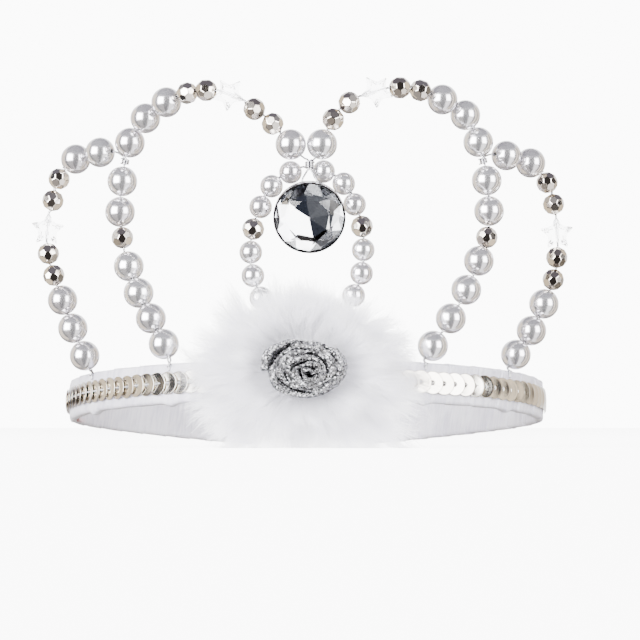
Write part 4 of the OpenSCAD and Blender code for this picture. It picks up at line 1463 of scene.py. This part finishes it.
@dataclass
class GlitterRose:
    """A rose rolled from one silver ribbon, its upper edge curled outwards in uneven petals."""

    pitch: float = 1.55
    heart_r: float = 0.3
    swirl: tuple[float, float] = (1.2, -1.9)
    ribbon_t: float = 0.3
    root: float = 0.3
    petal_room: float = 1.9
    arc: float = 195
    rows_per_turn: int = 104
    across: int = 20
    pleats: float = 4.5
    pleat: float = 0.10

    def section(self, a: Array, share: Array, lobe: Array, height: Array) -> Array:
        """The ribbon's section: up, over in an arc whose radius grows towards the petals, and back.

        Args:
            a: the angle round the spiral of each place along the ribbon.
            share: the share of the spiral that is behind it.
            lobe: 1 at the middle of a petal and 0 between two.
            height: how high the ribbon stands there.

        Returns:
            Places outwards and up, rows x points x 2.
        """
        curl = 0.42 + 0.4 * lobe * (0.4 + 0.6 * share)
        v = np.linspace(0, 1, self.across)[None, :]
        bend = np.radians(self.arc) * step(0.4, 1.1, v) * (0.6 + 0.5 * lobe)
        rise = np.minimum(v / 0.55, 1) * (height - curl)
        out = curl * (1 - np.cos(bend)) + (0.4 + 0.7 * share) * v ** 2
        up = rise + curl * np.sin(bend)
        away = np.stack([np.gradient(out, axis=1), np.gradient(up, axis=1)], axis=-1)
        normal = unit(np.stack([away[..., 1], -away[..., 0]], axis=-1)) * self.ribbon_t / 2
        pleat = self.pleat * np.sin(2 * np.pi * self.pleats * v + 2.0 * np.sin(a * 1.7)) * step(0.2, 0.5, v)
        normal = normal * (1 + pleat / (self.ribbon_t / 2))[..., None]
        middle = np.stack([out, up], axis=-1)
        return np.concatenate([middle + normal, (middle - normal)[:, ::-1]], axis=1)

    def surface(self) -> Surface:
        """The rolled ribbon.

        A ring of the grid is the ribbon's section. The rings follow a spiral about a middle that drifts
        from the swirl to the rose's middle, and slow waves push neighbouring turns together and apart,
        as in hand-folded petals. Fine noise crinkles it all.
        """
        last = (SIZES.rose_w / 2 - self.heart_r - self.petal_room) / self.pitch
        turn = np.linspace(0, last, int(self.rows_per_turn * last))[:, None]
        share, a = turn / last, 2 * np.pi * turn
        lobe = 0.5 + 0.5 * np.cos(a * 2.6 + 0.8 * np.sin(a * 0.7))
        height = SIZES.rose_depth * (1 - 0.42 * share ** 2) * (0.84 + 0.16 * lobe)
        section = self.section(a, share, lobe, height)
        slow = 0.34 * np.sin(a * 1.31 + 0.6) + 0.26 * np.sin(a * 2.77 + 2.1)
        r = self.heart_r + self.pitch * turn + slow * share ** 0.6 + section[..., 0]
        ratio = SIZES.rose_h / SIZES.rose_w
        x = self.swirl[0] * (1 - share) + r * np.cos(a)
        z = self.swirl[1] * (1 - share) + r * np.sin(a) * ratio
        points = np.stack([x, -self.root - section[..., 1], z], axis=-1)
        upper = step(0.1, 0.6, section[..., 1:] / height[..., None])
        big = np.stack([ripple(points, 4.5, seed, 1) for seed in (24, 25, 26)], axis=-1)
        fine = np.stack([ripple(points, 1.5, seed, 3) for seed in (21, 22, 23)], axis=-1)
        points = points + (0.45 * big + 0.2 * fine) * upper
        points = points + [0, -SIZES.rose_back, SIZES.mid_z]
        made = Surface.grid(points, close_columns=True, cap_rows=True)
        # Tone rises from the ribbon's foot, deep between the turns, to its edge: painted shade low in the
        # rose
        depth = np.clip(section[..., 1] / height, 0, 1) ** 1.5
        made.tones[:depth.size] = depth.ravel()
        return made

    def base(self) -> Surface:
        """The stiff round that the ribbon is sewn to: a low dome, an ellipse of rings."""
        a = 2 * np.pi * np.arange(40) / 40
        rings = [(0.30, 0.0), (0.44, 0.0), (0.455, 0.3), (0.44, 0.75), (0.36, 1.0), (0.1, 1.0)]
        points = np.stack([np.stack([q * SIZES.rose_w * np.cos(a), np.full(40, -y),
                                     q * SIZES.rose_h * np.sin(a)], axis=1) for q, y in rings])
        # A low tone: painted shade on the round behind the ribbon
        return Surface.grid(points[:, ::-1] + [0, -SIZES.rose_back, SIZES.mid_z], close_columns=True,
                            cap_rows=True, tone=0.2)

    def build(self, shop: Workshop) -> None:
        """Makes the rose."""
        shop.piece("glitter_rose", Surface.join([self.surface(), self.base()]), Glitter(),
                   replaces=["rose"])


# The marabou

@dataclass
class MarabouLayer:
    """One layer of plumes: how many, how far they reach and how far they stand off the band."""

    name: str
    plumes: int
    barbs: int
    reach: tuple[float, float]
    forward: tuple[float, float]
    length: tuple[float, float]
    spread: float
    width: float
    seed: int


@dataclass
class Marabou:
    """The tuft: layers of down plumes on a backing, each plume a fan of fine curling barbs."""

    steps: int = 6
    root_out: float = 1.7
    behind_room: float = 0.9
    strip_room: float = 0.5
    skin: float = 0.8
    low_power: int = 4
    low_press: float = 1.2
    down_count: int = 42000
    down_w: float = 0.05
    tip_share: float = 0.3
    layers: tuple[MarabouLayer, ...] = (
        MarabouLayer("marabou_back", 64, 16500, (0.84, 1.10), (-1.5, 3.5), (9, 17), 4.8, 0.08, 31),
        MarabouLayer("marabou_middle", 66, 16500, (0.66, 1.0), (1.0, 6.0), (8, 15), 4.4, 0.08, 32),
        MarabouLayer("marabou_front", 56, 15000, (0.50, 0.88), (2.5, 8.5), (6, 12), 4.0, 0.075, 33))

    def reach(self, a: Array) -> Array:
        """How far the longest locks reach at an angle round the rose.

        It is an ellipse above. Below, the locks keep low over a wide span, as the floor presses them.
        """
        above = np.sin(a) > 0
        high = np.where(above, SIZES.fluff_rise, SIZES.mid_z + SIZES.fluff_drop + self.low_press)
        power = np.where(above, 2, self.low_power)
        return ((np.abs(np.cos(a)) / SIZES.fluff_reach) ** power + (np.abs(np.sin(a)) / high) ** power) \
            ** (-1 / power)

    def rose_edge(self, a: Array) -> Array:
        """How far the rose's own edge is at an angle."""
        w, h = SIZES.rose_w / 2, SIZES.rose_h / 2
        return w * h / np.hypot(h * np.cos(a), w * np.sin(a))

    def barbs(self, layer: MarabouLayer) -> Array:
        """The middle lines of a layer's barbs, barbs x steps x 3.

        Each barb takes its plume's angle, bend and stand-off, leaves the plume's shaft at its own height
        and drifts to one side of it as the square root of its length, waving as it goes.
        """
        rng = np.random.default_rng(layer.seed)
        n = layer.barbs
        plume = rng.integers(0, layer.plumes, n)
        angle = (2 * np.pi * (np.arange(layer.plumes) + rng.uniform(-0.4, 0.4, layer.plumes))
                 / layer.plumes)[plume]
        bend = rng.normal(0, 0.16, layer.plumes)[plume]
        far = self.reach(angle) * rng.uniform(*layer.reach, layer.plumes)[plume]
        stand = rng.uniform(*layer.forward, layer.plumes)[plume]
        t = np.linspace(0, 1, self.steps)[None, :]
        length = rng.uniform(*layer.length, n)
        start = 1.5 + (far - 0.6 * length - 1.5).clip(0.5) * rng.beta(2.4, 0.95, n)
        end = np.minimum(start + length, far * rng.uniform(0.84, 1.04, n)).clip(start + 1)
        r = start[:, None] + (end - start)[:, None] * t
        side = rng.choice([-1.0, 1.0], n) * rng.uniform(0.1, 1, n) * layer.spread
        wave = rng.uniform(0.1, 0.5, n)[:, None] * np.sin(
            t * rng.uniform(3, 9, n)[:, None] + rng.uniform(0, 6.3, n)[:, None]) * t
        off = side[:, None] * t ** 0.7 + wave
        a = angle[:, None] + bend[:, None] * (r / far[:, None]) ** 2
        x = r * np.cos(a) - off * np.sin(a)
        z = SIZES.mid_z + r * np.sin(a) + off * np.cos(a)
        edge = self.rose_edge(a)
        lift = stand[:, None] * step(-1.0, 9.0, r - edge) + rng.normal(0, 1.0, n)[:, None] * t
        near = PLAN.point(PLAN.run_at(x))[..., 1]
        return np.stack([x, near - self.stand_off(lift, r < edge + self.skin, z), z], axis=-1)

    def stand_off(self, lift: Array, behind: Array, z: Array) -> Array:
        """How far barbs stand off the band's face: low behind the rose, and never inside the strip."""
        out = self.root_out + lift
        out = np.where(behind, np.minimum(self.root_out + self.behind_room, out), out)
        on_strip = (z > -0.6) & (z < SIZES.strip_h + self.skin)
        return np.where(on_strip, np.maximum(out, self.strip_room), out)

    def settle(self, points: Array) -> Array:
        """Lays what would sink through the floor flat on it."""
        placed = REST.placed(points)
        z = placed[..., 2]
        placed[..., 2] = np.where(z < 4e-4, 1.2e-4 + 2.8e-4 * np.exp(np.minimum(z - 4e-4, 0) / 1e-3), z)
        return placed

    def strips(self, lines: Array, width: float, seed: int) -> Surface:
        """Flat strips along lines, turned at random about them and narrowed to their tips.

        Args:
            lines: strips x steps x 3, in metres.
            width: the strips' width at the root, in metres.
            seed: which random turns.

        Returns:
            The strips, their tone rising from root to tip, which the finish turns into painted shade at the
            roots.
        """
        rng = np.random.default_rng(seed)
        n, k = lines.shape[:2]
        ways = unit(np.gradient(lines, axis=1))
        across = unit(np.cross(ways, rng.normal(size=(n, 1, 3))))
        t = np.linspace(0, 1, k)
        half = (0.5 * width * (1 - (1 - self.tip_share) * t ** 1.5))[:, None]
        points = np.stack([lines - across * half, lines + across * half], axis=2)
        first = (np.arange(n)[:, None] * k + np.arange(k - 1)[None, :]).ravel() * 2
        faces = np.stack([first, first + 1, first + 3, first + 2], axis=1)
        v = np.tile(t[:-1], n)
        dv = 1 / (k - 1)
        uv = np.stack([np.stack([np.zeros_like(v), v], -1), np.stack([np.ones_like(v), v], -1),
                       np.stack([np.ones_like(v), v + dv], -1), np.stack([np.zeros_like(v), v + dv], -1)],
                      axis=1)
        tones = np.repeat(np.broadcast_to(t, (n, k)).ravel(), 2)
        return Surface(points.reshape(-1, 3), [faces], [uv], tones)

    def down(self, barbs: Array) -> Array:
        """Short side hairs: each leaves a random barb at a random place and bends away from it."""
        rng = np.random.default_rng(37)
        pick = rng.integers(0, len(barbs), self.down_count)
        at = rng.integers(1, self.steps - 1, self.down_count)
        root, ahead = barbs[pick, at], barbs[pick, at + 1]
        share = rng.uniform(0, 1, self.down_count)[:, None]
        way = unit(ahead - root)
        side = unit(np.cross(way, rng.normal(size=way.shape)))
        length = rng.uniform(0.0012, 0.0032, self.down_count)[:, None]
        start = root + (ahead - root) * share
        middle = start + length * 0.5 * (0.6 * way + 0.8 * side)
        end = middle + length * 0.5 * unit(1.1 * way + 0.45 * side)
        return np.stack([start, middle, end], axis=1)

    def build(self, shop: Workshop) -> None:
        """Makes the layers of barbs and the short down on them."""
        made = []
        for layer in self.layers:
            lines = self.settle(self.barbs(layer))
            made.append(lines)
            shop.piece(layer.name, self.strips(lines, layer.width / 1000, layer.seed + 100),
                       MarabouFinish(), replaces=["fluff"] if layer is self.layers[0] else (),
                       placed=True)
        down = self.down(np.concatenate(made))
        down[..., 2] = np.maximum(down[..., 2], 1e-4)
        shop.piece("marabou_down", self.strips(down, self.down_w / 1000, 38), MarabouFinish(),
                   placed=True)


# The studio

@dataclass
class Studio:
    """A white floor, soft lights, and a camera just above the floor at the photograph's own bearing."""

    lens: float = 185.06
    distance: float = 0.850
    height: float = 0.006
    column_shift: float = 0.00375
    backdrop: float = 11.0
    pitch: float = 1.83
    # Each panel: its bearings, how soft its sides are, its heights, and its colour
    panels: tuple[tuple[float, float, float, float, float, Colour], ...] = (
        (-22, 30, 5, -1.1, 0.62, (0.05, 0.045, 0.045)), (24, 130, 6, -1.1, -0.3, (2.4, 2.35, 2.35)),
        (-68, -21, 3, -0.20, 0.56, (21.0, 21.0, 21.2)), (30, 64, 3, -0.20, 0.50, (14.0, 14.0, 14.2)),
        (-92, -70, 2, -0.9, 0.7, (0.04, 0.04, 0.05)), (-136, -92, 4, -0.9, 0.6, (1.55, 1.34, 1.05)),
        (66, 82, 2, -0.9, 0.6, (0.04, 0.04, 0.045)), (82, 98, 2, -0.9, 0.6, (1.9, 1.66, 1.34)),
        (98, 108, 2, -0.9, 0.6, (0.08, 0.075, 0.07)), (108, 136, 4, -0.9, 0.6, (1.5, 1.3, 1.04)))

    def floor(self) -> None:
        """A wide white floor."""
        mesh = bpy.data.meshes.new("floor")
        mesh.from_pydata([(-6, -6, 0), (6, -6, 0), (6, 6, 0), (-6, 6, 0)], [], [(0, 1, 2, 3)])
        mesh.materials.append(Ground().material())
        made = bpy.data.objects.new("floor", mesh)
        bpy.context.scene.collection.objects.link(made)
        made.visible_glossy = False
        made.visible_transmission = False
        made.visible_diffuse = False
        made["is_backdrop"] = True

    def surroundings(self) -> None:
        """An even white backdrop, and panels that the beads mirror.

        The panels are two bright windows beside the camera, dark gaps, and warm cards at the sides. A
        panel is a product of smooth steps of the direction's bearing, left of the camera's place
        negative, and its height. The backdrop is seen by the camera, and through the clear pieces in
        directions that lead away from the camera, or towards it well above or below it.
        """
        world = bpy.data.worlds.new("studio")
        world.use_nodes = True
        bpy.context.scene.world = world
        board = Board(world.node_tree)
        way = board.node("ShaderNodeTexCoord", output="Generated")
        x = board.node("ShaderNodeSeparateXYZ", inputs={0: way})
        y, z = (Signal(board, x.socket.node.outputs[i]) for i in (1, 2))
        bearing = board.node("ShaderNodeMath", {"operation": "ARCTAN2"}, {0: x, 1: y * -1.0}) \
            * (180 / math.pi)

        def panel(low: float, high: float, soft: float, bottom: float, top: float) -> Signal:
            """1 inside the bearings and heights, 0 outside."""
            wide = bearing.rise(low - soft, low + soft) * (1.0 - bearing.rise(high - soft, high + soft))
            return wide * z.rise(bottom - 0.05, bottom + 0.05) * (1.0 - z.rise(top - 0.05, top + 0.05))

        room = bearing.size().rise(110, 160).between((0.85, 0.85, 0.89), (3.0, 3.0, 3.02))
        room = board.blend(z.rise(0.62, 0.74), room, (0.22, 0.21, 0.26))
        room = board.blend((0.0 - z).rise(0.0, 0.12), room, (0.50, 0.46, 0.44))
        for low, high, soft, bottom, top, colour in self.panels:
            room = board.blend(panel(low, high, soft, bottom, top), room, colour)
        lit = board.node("ShaderNodeBackground", {}, {"Color": room, "Strength": 1.0})
        plain = board.node("ShaderNodeBackground", {}, {"Color": (1.0, 1.0, 1.0), "Strength": self.backdrop})
        path = board.node("ShaderNodeLightPath", output="Is Camera Ray")
        through = Signal(board, path.socket.node.outputs["Is Transmission Ray"])
        seen = path + through * (y.rise(0.2, 0.6) + (1.0 - y.rise(-0.3, 0.0)) * z.size().rise(0.15, 0.25))
        mixed = board.node("ShaderNodeMixShader", {}, {0: seen, 1: lit, 2: plain})
        board.node("ShaderNodeOutputWorld", {}, {"Surface": mixed})

    def lights(self) -> None:
        """A large soft light above, one from the front, and a spot that lifts the tuft."""
        for name, kind, place, target, power, sizes in (
                ("overhead", "AREA", (0.1, 0.1, 1.3), (0, 0, 0), 26.0, {"size": 1.8}),
                ("front_fill", "AREA", (-0.2, -1.5, 0.5), (0, 0, 0.04), 14.0, {"size": 0.9}),
                ("tuft_spot", "SPOT", (-0.05, -1.0, 0.32), (0, -0.06, 0.017), 95.0,
                 {"spot_size": math.radians(6.4), "spot_blend": 0.9, "shadow_soft_size": 0.12})):
            lamp = bpy.data.lights.new(name, kind)
            lamp.energy = power
            for label, value in sizes.items():
                setattr(lamp, label, value)
            held = bpy.data.objects.new(name, lamp)
            bpy.context.scene.collection.objects.link(held)
            held.location = place
            held.visible_glossy = False
            held.visible_transmission = False
            held.rotation_mode = "QUATERNION"
            held.rotation_quaternion = (Vector(target) - Vector(place)).to_track_quat("-Z", "Y")

    def camera(self) -> None:
        """The camera: its distance and lens are the photograph's, its height the least above the floor."""
        data = bpy.data.cameras.new("camera")
        data.lens, data.sensor_width, data.clip_start = self.lens, 36.0, 0.01
        held = bpy.data.objects.new("camera", data)
        bpy.context.scene.collection.objects.link(held)
        front = REST.placed(np.zeros((1, 3)))[0]
        held.location = (front[0] + self.column_shift, front[1] - self.distance, self.height)
        held.rotation_euler = (math.radians(90 + self.pitch), 0, 0)
        bpy.context.scene.camera = held

    def build(self) -> None:
        """Sets the stage."""
        self.floor()
        self.surroundings()
        self.lights()
        self.camera()


def main() -> None:
    """Builds the headband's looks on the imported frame."""
    logging.basicConfig(level=logging.INFO, format="%(name)s: %(message)s")
    Studio().build()
    shop = Workshop(REST)
    for assembly in (Band(), SequinRow(), Beads(), Wires(), Stone(), GlitterRose(), Marabou()):
        assembly.build(shop)


def corners(box: tuple[Vector, Vector]) -> str:
    """A box as two plain lists of numbers, one to a line."""
    return "\n".join(str([round(c, 6) for c in corner]) for corner in box)


if __name__ == "__main__":
    cad_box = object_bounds()
    main()
    corners(cad_box) + "\n" + corners(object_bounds()) + "\n"
